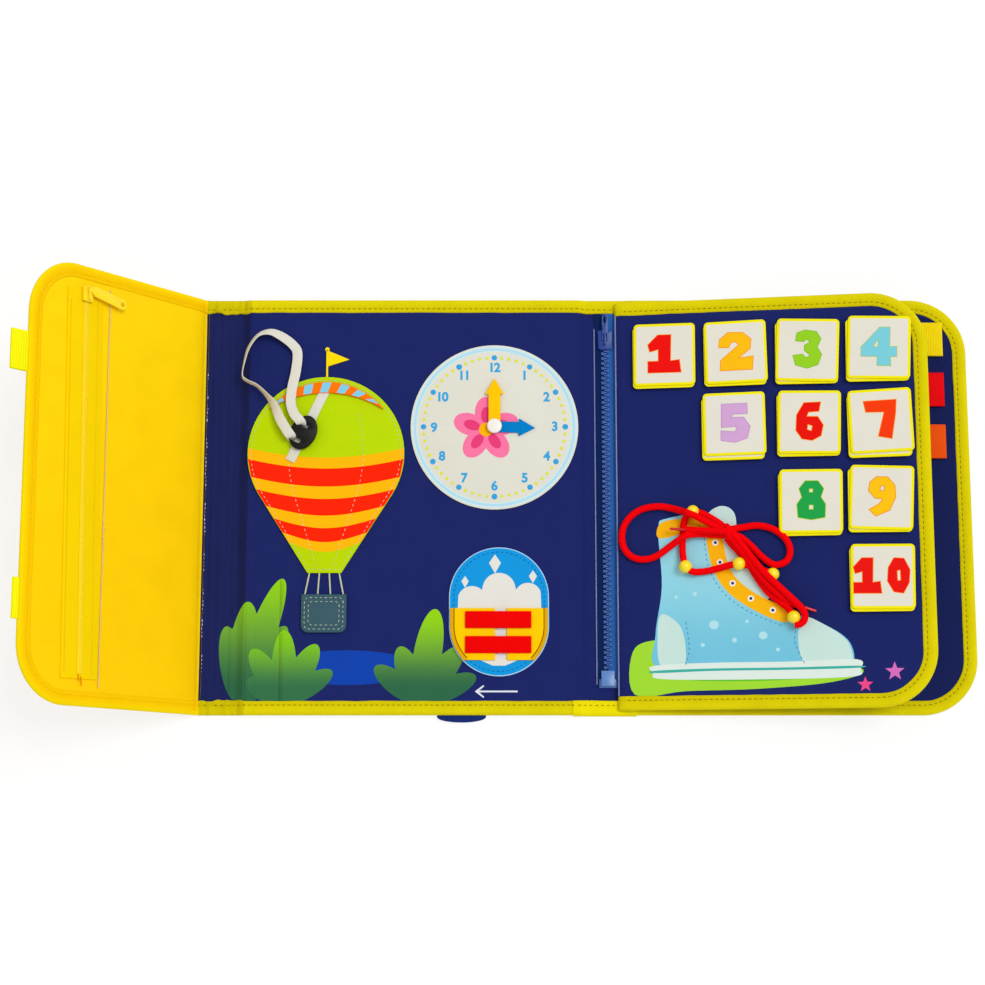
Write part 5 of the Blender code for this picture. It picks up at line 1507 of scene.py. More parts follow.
@dataclass
class Balloon:
    """The felt balloon: envelope with bands, striped crown, pennant, ropes and basket."""

    layout: Layout
    sown: Sown
    x: float = -0.0625
    y: float = 0.036
    radius: float = 0.056
    mouth: float = 0.024
    drop: float = 0.086
    belly: float = math.radians(32)
    low: float = 0.0056
    top: float = 0.0074
    basket_drop: float = 0.101
    crown_outer: float = 0.0515
    crown_inner: float = 0.07597
    crown_drop: float = 0.03196
    stripe_lean: float = math.radians(3)
    stripe_turns: tuple[Point, ...] = ((-45, -38), (-31, -25), (-18, -10.5), (-3, 4), (12, 19), (26, 33),
        (40, 46))
    band_places: tuple[tuple[float, float, str], ...] = (
        (0.004, -0.004, "amber"), (-0.004, -0.017, "red"), (-0.017, -0.026, "amber"), (-0.026, -0.038, "red"),
        (-0.038, -0.047, "amber"), (-0.047, -0.057, "red"), (-0.057, -0.064, "amber"),
    )

    def half_width(self, height: float, inset: float = 0.0) -> float:
        """Half the envelope's width at a height from its middle."""
        turn = -self.radius * math.sin(self.belly)
        if height >= turn:
            return math.sqrt(max(self.radius**2 - height**2, 0.0)) - inset
        wide = self.radius * math.cos(self.belly)
        share = (turn - height) / (turn + self.drop)
        return wide + (self.mouth / 2 - wide) * share - inset

    def outline(self, inset: float) -> Loop:
        """The envelope's outline drawn in."""
        points = arc((0.0, 0.0), self.radius - inset, -self.belly, math.pi + self.belly, 48)
        lower = -self.drop + inset
        points += [(-self.half_width(lower, inset), lower), (self.half_width(lower, inset), lower)]
        return points

    def place(self, loop: Loop) -> Loop:
        """A loop moved from the envelope's middle to the panel."""
        return shifted(loop, self.layout.back_middle + self.x, self.y)

    def band(self, upper: float, lower: float) -> Loop:
        """A band across the envelope that bows downwards."""
        bow = 0.007
        points: Loop = []
        for height, way in ((upper, 1), (lower, -1)):
            for step in range(25):
                share = (2 * step / 24 - 1) * way
                y = height - bow * (1 - share**2)
                points.append((share * self.half_width(y, 0.0003), y))
        return points

    def build(self) -> None:
        """Make the balloon's pieces."""
        envelope = coloured(plate([self.place(self.outline(0.0))], self.low, self.top, 0.0004), LOOKS.lime)
        meshes = [envelope]
        finishes = {"amber": LOOKS.amber_print, "red": LOOKS.red_print}
        for upper, lower, kind in self.band_places:
            loop = self.place(self.band(upper, lower))
            meshes.append(patch(finishes[kind], [loop], self.top - 0.0002, self.top + 0.00005))
        add_piece("balloon_felt", joined(meshes), ["back"],
            stands_for=["balloon_envelope"])
        edge = [(x, y, self.top + 0.0001) for x, y in self.place(self.outline(0.0026))]
        lines = [edge + edge[:1]]
        for share in (-0.5, 0.5):
            heights = [0.028 - 0.108 * step / 30 for step in range(31)]
            spots = self.place([(share * self.half_width(h, 0.003), h) for h in heights])
            lines.append([(x, y, self.top + 0.0001) for x, y in spots])
        seam = self.sown.grow(lines, stitch_shape(0.0022, 0.0005, 0.00028), LOOKS.pale_thread, 0.0036)
        add_piece("balloon_seam", seam, ["back"])
        self.crown()
        self.basket()

    def crown(self) -> None:
        """The striped patch on the crown, and its pennant."""
        item = softened("crown_patch", LOOKS.orange_print, "back", 0.0003)
        item.name = "crown_felt"
        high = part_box("crown_patch")[1].z
        stripes = []
        for first, last in self.stripe_turns:
            outline, inline = [], []
            for step in range(7):
                turn = math.radians(first + (last - first) * step / 6)
                outline.append((self.crown_outer * math.sin(turn), self.crown_outer * math.cos(turn)))
                x = 46.5 / 52 * self.crown_outer * math.sin(turn - self.stripe_lean)
                y = -self.crown_drop + math.sqrt((self.crown_inner + 0.0003) ** 2 - x**2)
                inline.append((x, y))
            mesh = plate([self.place(outline + inline[::-1])], high - 0.0002, high + 0.00005)
            stripes.append(coloured(mesh, LOOKS.pale_blue))
        add_piece("crown_stripes", joined(stripes), ["back"])
        mast = [(-0.0007, 0.054), (0.0007, 0.054), (0.0007, 0.076), (-0.0007, 0.076)]
        flag = [(0.0007, 0.0755), (0.0160, 0.0690), (0.0007, 0.0640)]
        knob = oval((0.0, 0.0765), 0.0016, 0.0016, 16)
        parts = [
            patch(LOOKS.sun, [self.place(loop)], self.low, self.low + 0.0012, 0.0002)
            for loop in (mast, flag, knob)
        ]
        add_piece("crown_pennant", joined(parts), ["back"])

    def basket(self) -> None:
        """The basket patch with its double seam, and the printed ropes."""
        item = softened("balloon_basket", LOOKS.teal, "back", 0.0005)
        item.name = "basket_felt"
        low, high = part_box("balloon_basket")
        lines = []
        for inset in (0.0024, 0.0052):
            loop = rounded(low.x + inset, low.y + inset, high.x - inset, high.y - inset, 0.003)
            lines.append([(x, y, high.z + 0.0001) for x, y in loop + loop[:1]])
        seam = self.sown.grow(lines, stitch_shape(0.0022, 0.0005, 0.00028), LOOKS.pale_thread, 0.0034)
        add_piece("basket_seam", seam, ["back"])
        ropes = []
        for near, far in ((-0.0105, -0.0135), (-0.0035, -0.0045), (0.0035, 0.0045), (0.0105, 0.0135)):
            line = [(near, -self.drop, 0.0064), (far, -self.basket_drop, 0.0064)]
            moved = [(self.layout.back_middle + self.x + x, self.y + y, z) for x, y, z in line]
            ropes.append(piped(LOOKS.pale_thread, moved, 0.0006, 8))
        add_piece("basket_ropes", joined(ropes), ["back"])


@dataclass
class Elastic:
    """The white elastic: sewn length, slide and free loop."""

    layout: Layout
    width: float = 0.007
    thickness: float = 0.0008
    felt_top: float = 0.0074
    # The loop's route: along and up the panel from its middle, height over the felt, and lean in degrees
    route: tuple[tuple[float, float, float, float], ...] = (
        (-0.0800, 0.0562, 0.0014, 0), (-0.0799, 0.0566, 0.0040, 0), (-0.0801, 0.0574, 0.0064, 0),
        (-0.0818, 0.0596, 0.0076, 2), (-0.0852, 0.0640, 0.0068, 8), (-0.0878, 0.0725, 0.0042, 14),
        (-0.0870, 0.0830, 0.0036, 8), (-0.0846, 0.0960, 0.0024, 4), (-0.0838, 0.1090, 0.0014, 6),
        (-0.0870, 0.1150, 0.0018, 14), (-0.0950, 0.1212, 0.0024, 20), (-0.1035, 0.1245, 0.0032, 40),
        (-0.1120, 0.1220, 0.0036, 60), (-0.1185, 0.1130, 0.0038, 66), (-0.1216, 0.1020, 0.0038, 76),
        (-0.1228, 0.0920, 0.0038, 82), (-0.1190, 0.0880, 0.0040, 84), (-0.1120, 0.0845, 0.0042, 82),
        (-0.1050, 0.0775, 0.0048, 70), (-0.0995, 0.0700, 0.0060, 40), (-0.0950, 0.0600, 0.0078, 14),
        (-0.0900, 0.0515, 0.0080, 2), (-0.0872, 0.0476, 0.0066, 0), (-0.0868, 0.0466, 0.0040, 0),
        (-0.0866, 0.0460, 0.0014, 0),
    )
    slide_place: Point = (-0.0785, 0.0505)
    slide_turn: float = math.radians(64.5)
    slide_size: Place = (0.0256, 0.0185, 0.0041)
    slide_low: float = 0.0086
    slots: tuple[Point, ...] = ((0.00512, 0.00259), (-0.00691, 0.00296))
    slot_size: Point = (0.0032, 0.0084)

    def ribbon(self, points: Sequence[Sequence[float]]) -> Mesh:
        """A flat band along points that lean from flat to edgeways.

        Args:
            points: Place and lean of each point.

        Returns:
            The mesh.
        """
        edit = mapped_edit()
        section = [(-0.5, 0.2), (-0.44, 0.5), (0.0, 0.42), (0.44, 0.5), (0.5, 0.2), (0.5, -0.2), (0.44, -0.5),
                   (0.0, -0.42), (-0.44, -0.5), (-0.5, -0.2)]
        rings = []
        for index, point in enumerate(points):
            place, lean = Vector(point[:3]), math.radians(point[3])
            before, after = points[max(index - 1, 0)], points[min(index + 1, len(points) - 1)]
            ahead = (Vector(after[:3]) - Vector(before[:3])).normalized()
            side = Vector((-ahead.y, ahead.x, 0.0)).normalized()
            across = side * math.cos(lean) + Vector((0.0, 0.0, math.sin(lean)))
            through = ahead.cross(across).normalized()
            rings.append([
                edit.verts.new(place + across * self.width * a + through * self.thickness * b)
                for a, b in section
            ])
        skinned(edit, rings, [Vector(point[:3]) for point in points], 0.0014)
        return tidied(closed(edit), 60.0)

    def build(self) -> None:
        """Make the elastic and its slide."""
        softened("elastic_strap", LOOKS.elastic, "back", 0.0002, "sewn_elastic")
        middle = self.layout.back_middle
        length, width, thickness = self.slide_size
        half_u, half_v = self.slot_size[0] / 2, self.slot_size[1] / 2
        loops = [oval((0.0, 0.0), length / 2, width / 2, 96)]
        loops += [
            rounded(u - half_u, v - half_v, u + half_u, v + half_v, half_u * 0.9) for u, v in self.slots]
        place = (middle + self.slide_place[0], self.slide_place[1])
        turned = [shifted(loop, *place, 1.0, self.slide_turn) for loop in loops]
        body = plate(turned, self.slide_low, self.slide_low + thickness, 0.0008)
        add_piece("elastic_slide", coloured(body, LOOKS.black), ["strap_slide"],
            stands_for=["slide_lock"])
        route = [(middle + x, y, self.felt_top + z, lean) for x, y, z, lean in self.route]
        points = evenly(route, 0.0011)
        loop = add_piece("free_loop", coloured(self.ribbon(points), LOOKS.elastic), ["strap_slide"],
            stands_for=["elastic_loop"])


@dataclass
class Clock:
    """The felt clock: dial, ring, dots, numerals, a flower and the hands."""

    layout: Layout
    sown_points: Sown
    x: float = 0.0578
    y: float = 0.0555
    radius: float = 0.060
    dot_circle: float = 0.0507
    numeral_circle: float = 0.0432
    numeral_size: float = 0.0092

    @property
    def middle(self) -> float:
        """The dial's middle along the panel."""
        return self.layout.back_middle + self.x

    def ring(self, outer: float, inner: float, low: float, high: float) -> Mesh:
        """A flat ring about the dial's middle."""
        loops = [oval((self.middle, self.y), outer, outer, 96), oval((self.middle, self.y), inner, inner, 96)]
        return plate(loops, low, high)

    def numerals(self, height: float) -> list[Mesh]:
        """The hours from 1 to 12."""
        meshes = []
        for hour in range(1, 13):
            curve = bpy.data.curves.new("hour", "FONT")
            curve.body = str(hour) if hour != 9 else "6"
            curve.size = self.numeral_size
            curve.align_x, curve.align_y = "CENTER", "CENTER"
            curve.extrude = 0.00005
            curve.offset = 0.00034
            curve.space_character = 0.9
            guide = bpy.data.objects.new("hour", curve)
            turn = math.pi / 2 - hour * math.pi / 6
            x = self.middle + self.numeral_circle * math.cos(turn)
            y = self.y + self.numeral_circle * math.sin(turn)
            mesh = settled(guide)
            if hour == 9:
                mesh.transform(Matrix.Rotation(math.pi, 4, "Z"))
            mesh.transform(Matrix.Translation((x, y, height)))
            meshes.append(coloured(stamped(tidied(mesh)), LOOKS.dial_blue))
        return meshes

    def flower(self, height: float) -> list[Mesh]:
        """A plain five-petalled flower."""
        meshes = []
        x, y = self.middle - 0.006, self.y - 0.002
        for index in range(5):
            turn = math.pi / 2 + index * 2 * math.pi / 5
            petal = shifted(oval((0.0125, 0.0), 0.0115, 0.0080, 28), x, y, 1.0, turn)
            inner = shifted(oval((0.0105, 0.0), 0.0060, 0.0036, 20), x, y, 1.0, turn)
            lift = 0.00002 * index
            meshes.append(patch(LOOKS.petal, [petal], height - 0.0001, height + lift))
            meshes.append(patch(LOOKS.petal_deep, [inner], height - 0.0001, height + lift + 0.0001))
        eye = plate([oval((x, y), 0.0050, 0.0050, 28)], height - 0.0001, height + 0.00025)
        meshes.append(coloured(eye, LOOKS.amber_print))
        return meshes

    def build(self) -> None:
        """Make the clock."""
        low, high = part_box("clock_dial")
        hole = oval((self.middle, self.y), 0.0024, 0.0024, 24)
        loops = [oval((self.middle, self.y), self.radius, self.radius, 128), hole]
        face = plate(loops, low.z - 0.0002, high.z, 0.0003)
        add_piece("dial_felt", coloured(face, LOOKS.dial), ["back"],
            stands_for=["clock_dial"])
        top = high.z + 0.00004
        rings = [
            coloured(self.ring(0.0590, 0.0550, high.z - 0.0001, top - 0.00002), LOOKS.dial_haze),
            coloured(self.ring(0.0579, 0.0559, high.z - 0.0001, top), LOOKS.dial_ring),
        ]
        add_piece("dial_rings", joined(rings), ["back"])
        add_piece("dial_numerals", joined(self.numerals(top)), ["back"])
        add_piece("dial_flower", joined(self.flower(top)), ["back"])
        spots = {True: [], False: []}
        for step in range(60):
            turn = step * math.pi / 30
            x = self.middle + self.dot_circle * math.cos(turn)
            place = (x, self.y + self.dot_circle * math.sin(turn), top)
            spots[step % 5 == 0].append(place)
        for whole, finish, radius, name in (
            (True, LOOKS.dial_blue, 0.0021, "hour_dots"), (False, LOOKS.dial_dot, 0.0012, "minute_dots"),
        ):
            dot = bead_shape((radius, radius, radius * 0.08), 20)
            mesh = self.sown_points.grow([[spot] for spot in spots[whole]], dot, finish, wander=0.08)
            add_piece(name, mesh, ["back"])
        softened("hour_hand", LOOKS.hand_blue, "hour_hand", 0.00025, "hour_arrow")
        softened("minute_hand", LOOKS.hand_yellow, "minute_hand", 0.00025, "minute_arrow")
        softened("clock_post", LOOKS.post, "back", 0.0002, "post_head")


@dataclass
class Sandal:
    """The sandal patch: sky print with a cloud, two felt flaps and two hook straps."""

    layout: Layout
    sown: Sown
    rim: float = 0.0007
    flap_inset: float = 0.0009
    fold_inset: float = 0.0036
    bend: float = 0.0040

    def stadium(self, inset: float) -> Loop:
        """The patch's outline drawn in."""
        low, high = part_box("shoe_patch")
        radius = (high.x - low.x) / 2 - inset
        return rounded(low.x + inset, low.y + inset, high.x - inset, high.y - inset, radius - 0.00001, 20)

    def cloud(self) -> Loop:
        """A tall cloud of three humps that runs down behind the flaps."""
        low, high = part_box("shoe_patch")
        wide, middle = high.x - low.x, (low.x + high.x) / 2
        humps = ((-0.27, 0.0235, 0.145), (0.0, 0.0315, 0.165), (0.29, 0.0265, 0.135), (-0.14, 0.0160, 0.2),
            (0.14, 0.0160, 0.2))
        rounds = [(middle + x * wide, low.y + 0.030 + up, radius * wide) for x, up, radius in humps]
        foot = [(middle + x * wide, low.y + up) for x, up in (
            (0.40, 0.026), (0.27, 0.0175), (0.25, 0.0135), (0.16, 0.0105), (0.06, 0.0075), (-0.06, 0.0075),
            (-0.16, 0.0105),
            (-0.25, 0.0135), (-0.27, 0.0175), (-0.40, 0.026))]
        return mounds(rounds, low.y + 0.044) + foot

    def kite(self, x: float, y: float, size: float) -> Loop:
        """A small four-cornered kite."""
        return shifted([(0.0, 1.0), (0.62, 0.1), (0.0, -1.0), (-0.62, 0.1)], x, y, size)

    def flap(self, node: str) -> tuple[Loop, Loop, list[Point]]:
        """A flap's outline along the patch's edge, its outer fold, painted darker as shade, and the dark
        crease line between them, also painted shade.

        Args:
            node: The frame's flap.

        Returns:
            The flap, the fold and the line.
        """
        low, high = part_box(node)
        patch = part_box("shoe_patch")
        side = -1 if (low.x + high.x) < (patch[0].x + patch[1].x) else 1
        straight = high.x if side < 0 else low.x

        def edge(inset: float) -> list[Point]:
            """The part of the patch's outline beside this flap, from its top down."""
            middle = (patch[0].x + patch[1].x) / 2
            points = [p for p in self.stadium(inset) if (p[0] - middle) * side > 0 and low.y < p[1] < high.y]
            points.sort(key=lambda p: -p[1])
            first, last = points[0], points[-1]
            return [(first[0], high.y), *points, (last[0] - side * 0.0006, low.y)]

        outer, inner = edge(self.flap_inset), edge(self.fold_inset)
        return [*outer, (straight, low.y), (straight, high.y)], outer + inner[::-1], inner

    def build(self) -> None:
        """Make the patch, flaps and straps."""
        low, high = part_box("shoe_patch")
        base = plate([self.stadium(0.0)], low.z - 0.0002, high.z, 0.0004)
        sky = plate([self.stadium(self.rim)], high.z - 0.0001, high.z + 0.00005)
        white = [self.cloud()]
        white += [
            self.kite(low.x + x * (high.x - low.x), low.y + y * (high.y - low.y), size)
            for x, y, size in ((0.16, 0.73, 0.0042), (0.46, 0.87, 0.0068), (0.84, 0.77, 0.0046))
        ]
        marks = [plate([loop], high.z - 0.0001, high.z + 0.0001) for loop in white]
        parts = [coloured(base, LOOKS.white_felt), coloured(sky, LOOKS.sky)]
        parts += [coloured(mark, LOOKS.cloud_print) for mark in marks]
        add_piece("sandal_patch", joined(parts), ["back"], stands_for=["shoe_patch"])
        loop = self.stadium(0.0034)
        line = [(x, y, high.z + 0.0001) for x, y in loop + loop[:1]]
        seam = self.sown.grow([line], stitch_shape(0.0020, 0.0005, 0.00026), LOOKS.sandal_thread, 0.0034)
        add_piece("sandal_seam", seam, ["back"])
        for node, body in (("shoe_flap_left", "shoe_flap"), ("shoe_flap_right", "back")):
            bottom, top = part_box(node)
            whole, fold, line = self.flap(node)
            parts = [
                patch(LOOKS.sandal_felt, [whole], bottom.z, top.z, 0.0004),
                # The fold band and the crease line are painted darker: painted shade.
                patch(LOOKS.sandal_fold, [fold], top.z - 0.0001, top.z + 0.00004),
                piped(LOOKS.amber_thread, [(x, y, top.z) for x, y in line[:-1]], 0.00030, 8),
            ]
            if body == "back":
                add_piece(f"{node}_felt", joined(parts), [body], stands_for=[node])
            else:
                add_piece(
                    f"{node}_felt", joined(parts), ["back", body], [node])
        softened("shoe_strap_upper", LOOKS.hook_tape, "shoe_strap_upper", 0.0003, "hook_strap_upper")
        softened("shoe_strap_lower", LOOKS.hook_tape, "shoe_strap_lower", 0.0003, "hook_strap_lower")


@dataclass
class SpineZip:
    """The chunky zip on the spine: cloth tapes, two rows of teeth, box, slider and pull."""

    layout: Layout
    sown: Sown
    tape_width: float = 0.015
    tooth_pitch: float = 0.0036
    tooth_low: float = 0.00195
    tooth_high: float = 0.0034
    first_tooth: float = -0.1167
    tape_end: float = -0.1308
    teeth: int = 68

    def tooth(self, side: int) -> Mesh:
        """One tooth, lying across the tape with its head past the middle line."""
        outer, neck, tip = 0.0029, 0.0009, -0.0008
        root, head = 0.0011, 0.0007
        outline = [(outer, -root), (neck, -root), (neck, -head), (tip, -head), (tip, head), (neck, head),
            (neck, root),
                   (outer, root)]
        loop = [(y, x * -side) for x, y in outline]
        return plate([loop], self.tooth_low, self.tooth_high, 0.00022)

    def build(self) -> None:
        """Make the zip."""
        middle = self.layout.spine_middle
        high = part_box("spine_zip_left")[1]
        for name, side in (("left", -1), ("right", 1)):
            outer = middle + side * self.tape_width / 2
            inner = middle + side * 0.0004
            left, right = sorted((outer, inner))
            corners = [(left, self.tape_end), (right, self.tape_end), (right, high.y), (left, high.y)]
            tape = stamped(plate([corners], 0.00165, 0.0022, 0.0001), swapped=True)
            shift = self.tooth_pitch / 2 if side > 0 else 0.0
            start = self.first_tooth + shift
            last = start + self.tooth_pitch * (self.teeth - 1) + 0.00001
            line = [(middle, start, 0.0), (middle, last, 0.0)]
            row = self.sown.grow([line], self.tooth(side), LOOKS.zip_teeth, self.tooth_pitch, 0.0)
            # A lighter bead on each tooth's head: painted highlight on the teeth.
            head = stitch_shape(0.0011, 0.0012, 0.00012)
            highlight_line = [[(middle - side * 0.0003, place[1], self.tooth_high) for place in line]]
            highlight_caps = self.sown.grow(highlight_line, head, LOOKS.zip_heads, self.tooth_pitch, 0.0)
            # The left tape is the darker copy: painted shade.
            cloth = LOOKS.zip_shade if side < 0 else LOOKS.zip_tape
            add_piece(f"zip_half_{name}", joined([coloured(tape, cloth), row, highlight_caps]), ["spine"],
                stands_for=[f"spine_zip_{name}"])
        end = [(-0.006, 0.0), (0.006, 0.0), (0.006, 0.006), (-0.006, 0.006)]
        film = plate([shifted(end, middle, self.tape_end)], 0.0022, 0.00245, 0.0001)
        add_piece("zip_end_film", coloured(film, LOOKS.zip_end), ["spine"])
        softened("spine_zip_box", LOOKS.zip_box, "spine", 0.0003, "zip_box")
        softened("spine_zip_slider", LOOKS.zip_slider, "spine_slider", 0.00025, "zip_slider")
        softened("spine_zip_pull", LOOKS.zip_slider, "spine_pull", 0.0002, "zip_pull")
        x = middle - self.tape_width / 2 - 0.0002
        line = [(x, -0.1285 + 0.257 * step / 60, 0.0021) for step in range(61)]
        add_piece("zip_piping", piped(LOOKS.piping, line, 0.0005, 8), ["spine"])


@dataclass
class FlapPocket:
    """What lies on the flap: clear pocket, coil zip with its long pull, and the closure tabs."""

    layout: Layout
    sown: Sown
    zip_place: float = 0.1135
    slant: float = math.radians(1.1)
    tape_width: float = 0.031
    tape_length: float = 0.264
    coil_top: float = 0.124
    coil_bottom: float = -0.128
    window_near: float = 0.004
    window_far: float = 0.0945
    window_height: float = 0.278

    def turn(self) -> Matrix:
        """The zip's slant, then the flap's raise."""
        there = Matrix.Translation((self.layout.flap_fold - self.zip_place, 0.0, 0.0))
        return self.layout.flap_matrix @ there @ Matrix.Rotation(self.slant, 4, "Z")

    def strip(self, half_width: float, length: float, low: float, high: float) -> Mesh:
        """A strip along the zip with ribs across it."""
        loop = box_loop(-half_width, -length / 2, half_width, length / 2)
        return stamped(plate([loop], low, high, 0.00008), swapped=True)

    def tick(self) -> Mesh:
        """One turn of the coil: a small bead across the zip."""
        return bead_shape((0.0008, 0.0022, 0.0004), 10)

    def build(self) -> None:
        """Make the pocket and its zip."""
        low, base = 0.0040, 0.0043
        tape = coloured(self.strip(self.tape_width / 2, self.tape_length, low, base + 0.0004),
            LOOKS.pocket_tape)
        tape.transform(self.turn())
        add_piece("pocket_tape", tape, ["flap"], stands_for=["flap_zip_tape"])
        core = self.strip(0.0021, self.coil_top - self.coil_bottom, base + 0.0005, base + 0.0010)
        core.transform(Matrix.Translation((0.0, (self.coil_top + self.coil_bottom) / 2, 0.0)))
        line = [(0.0, self.coil_bottom, base + 0.0011), (0.0, self.coil_top, base + 0.0011)]
        coil = self.sown.grow([line], self.tick(), LOOKS.pocket_coil, 0.0016, 0.05)
        mesh = joined([coloured(core, LOOKS.pocket_coil), coil])
        mesh.transform(self.turn())
        add_piece("pocket_coil", mesh, ["flap"], stands_for=["flap_zip_coil"])
        softened("flap_zip_slider", LOOKS.pocket_coil, "flap_slider", 0.00025, "pocket_slider")
        softened("flap_zip_pull", LOOKS.pocket_coil, "flap_pull", 0.00025, "pocket_pull")
        top = base + 0.0004
        seam_line = [(-0.0130, 0.124, top), (-0.0130, -0.128, top)]
        groove = tube(seam_line, 0.00022, 6)
        dashes = self.sown.grow([seam_line], stitch_shape(0.0018, 0.0004, 0.0002), LOOKS.seam_film, 0.0034)
        hairline = tube([(0.0105, 0.126, top), (0.0105, -0.129, top)], 0.00018, 6)
        tacks = []
        for x, y, length in ((0.0005, 0.1275, 0.004), (0.0012, -0.1305, 0.006), (-0.0012, -0.1295, 0.004)):
            line = [(x, y, top + 0.0005), (x + 0.0006, y - length, top + 0.0005)]
            tacks.append(piped(LOOKS.orange_thread, line, 0.0003, 6))
        plain = [coloured(line, LOOKS.flap_thread) for line in (groove, hairline)]
        seam = joined([plain[0], dashes, plain[1], *tacks])
        seam.transform(self.turn())
        add_piece("pocket_seam", seam, ["flap"])
        self.film()
        for node in ("closure_tab_upper", "closure_tab_lower"):
            softened(node, LOOKS.neon, "flap", 0.0003, f"{node}_webbing")

    def film(self) -> None:
        """The clear window, its turned edge, pale as a painted highlight on the plastic, and pale flakes
        along one stretch of it that are painted glare.
        """
        fold = self.layout.flap_fold
        near, far, half = fold - self.window_near, fold - self.window_far, self.window_height / 2
        edit = bmesh.new()
        rows, columns = 40, 24
        grid = []
        for i in range(columns + 1):
            u = far + (near - far) * i / columns
            line = []
            for j in range(rows + 1):
                y = -half + 2 * half * j / rows
                lift = 0.00010 * noise.noise(Vector((u / 0.03, y / 0.05, 5.0)))
                line.append(edit.verts.new((u, y, 0.00455 + lift)))
            grid.append(line)
        for first, second in zip(grid, grid[1:]):
            for a, b, c, d in zip(first, second, second[1:], first[1:]):
                edit.faces.new((a, b, c, d))
        mesh = thickened(stamped(closed(edit)), 0.0003, -1.0)
        mesh.transform(self.layout.flap_matrix)
        film = add_piece("pocket_film", coloured(mesh, LOOKS.film), ["flap"],
            stands_for=["pocket_window"])
        line = []
        for step in range(61):
            y = half - 0.002 - (2 * half - 0.004) * step / 60
            line.append((far + 0.0004 + 0.0004 * noise.noise(Vector((y / 0.02, 1.0, 0.0))), y, 0.0047))
        # The window's turned edge as a pale tube: the edge is real, its pale colour a painted highlight on
        # the plastic.
        edge = [piped(LOOKS.seam_film, line, 0.0004, 8)]
        # Pale flakes along one stretch of the edge: painted glare on the film.
        glare_spots = []
        for step in range(26):
            y = -0.024 - 0.0012 * step
            x = far + 0.0008 + 0.0012 * noise.noise(Vector((y / 0.003, 3.0, 0.0)))
            glare_spots.append([(x, y, 0.0049)])
        edge.append(Sown(along=False).grow(glare_spots, stitch_shape(0.0026, 0.0009, 0.0003), LOOKS.frayed,
            wander=0.9))
        whole = joined(edge)
        whole.transform(self.layout.flap_matrix)
        add_piece("film_edge", whole, ["flap"])


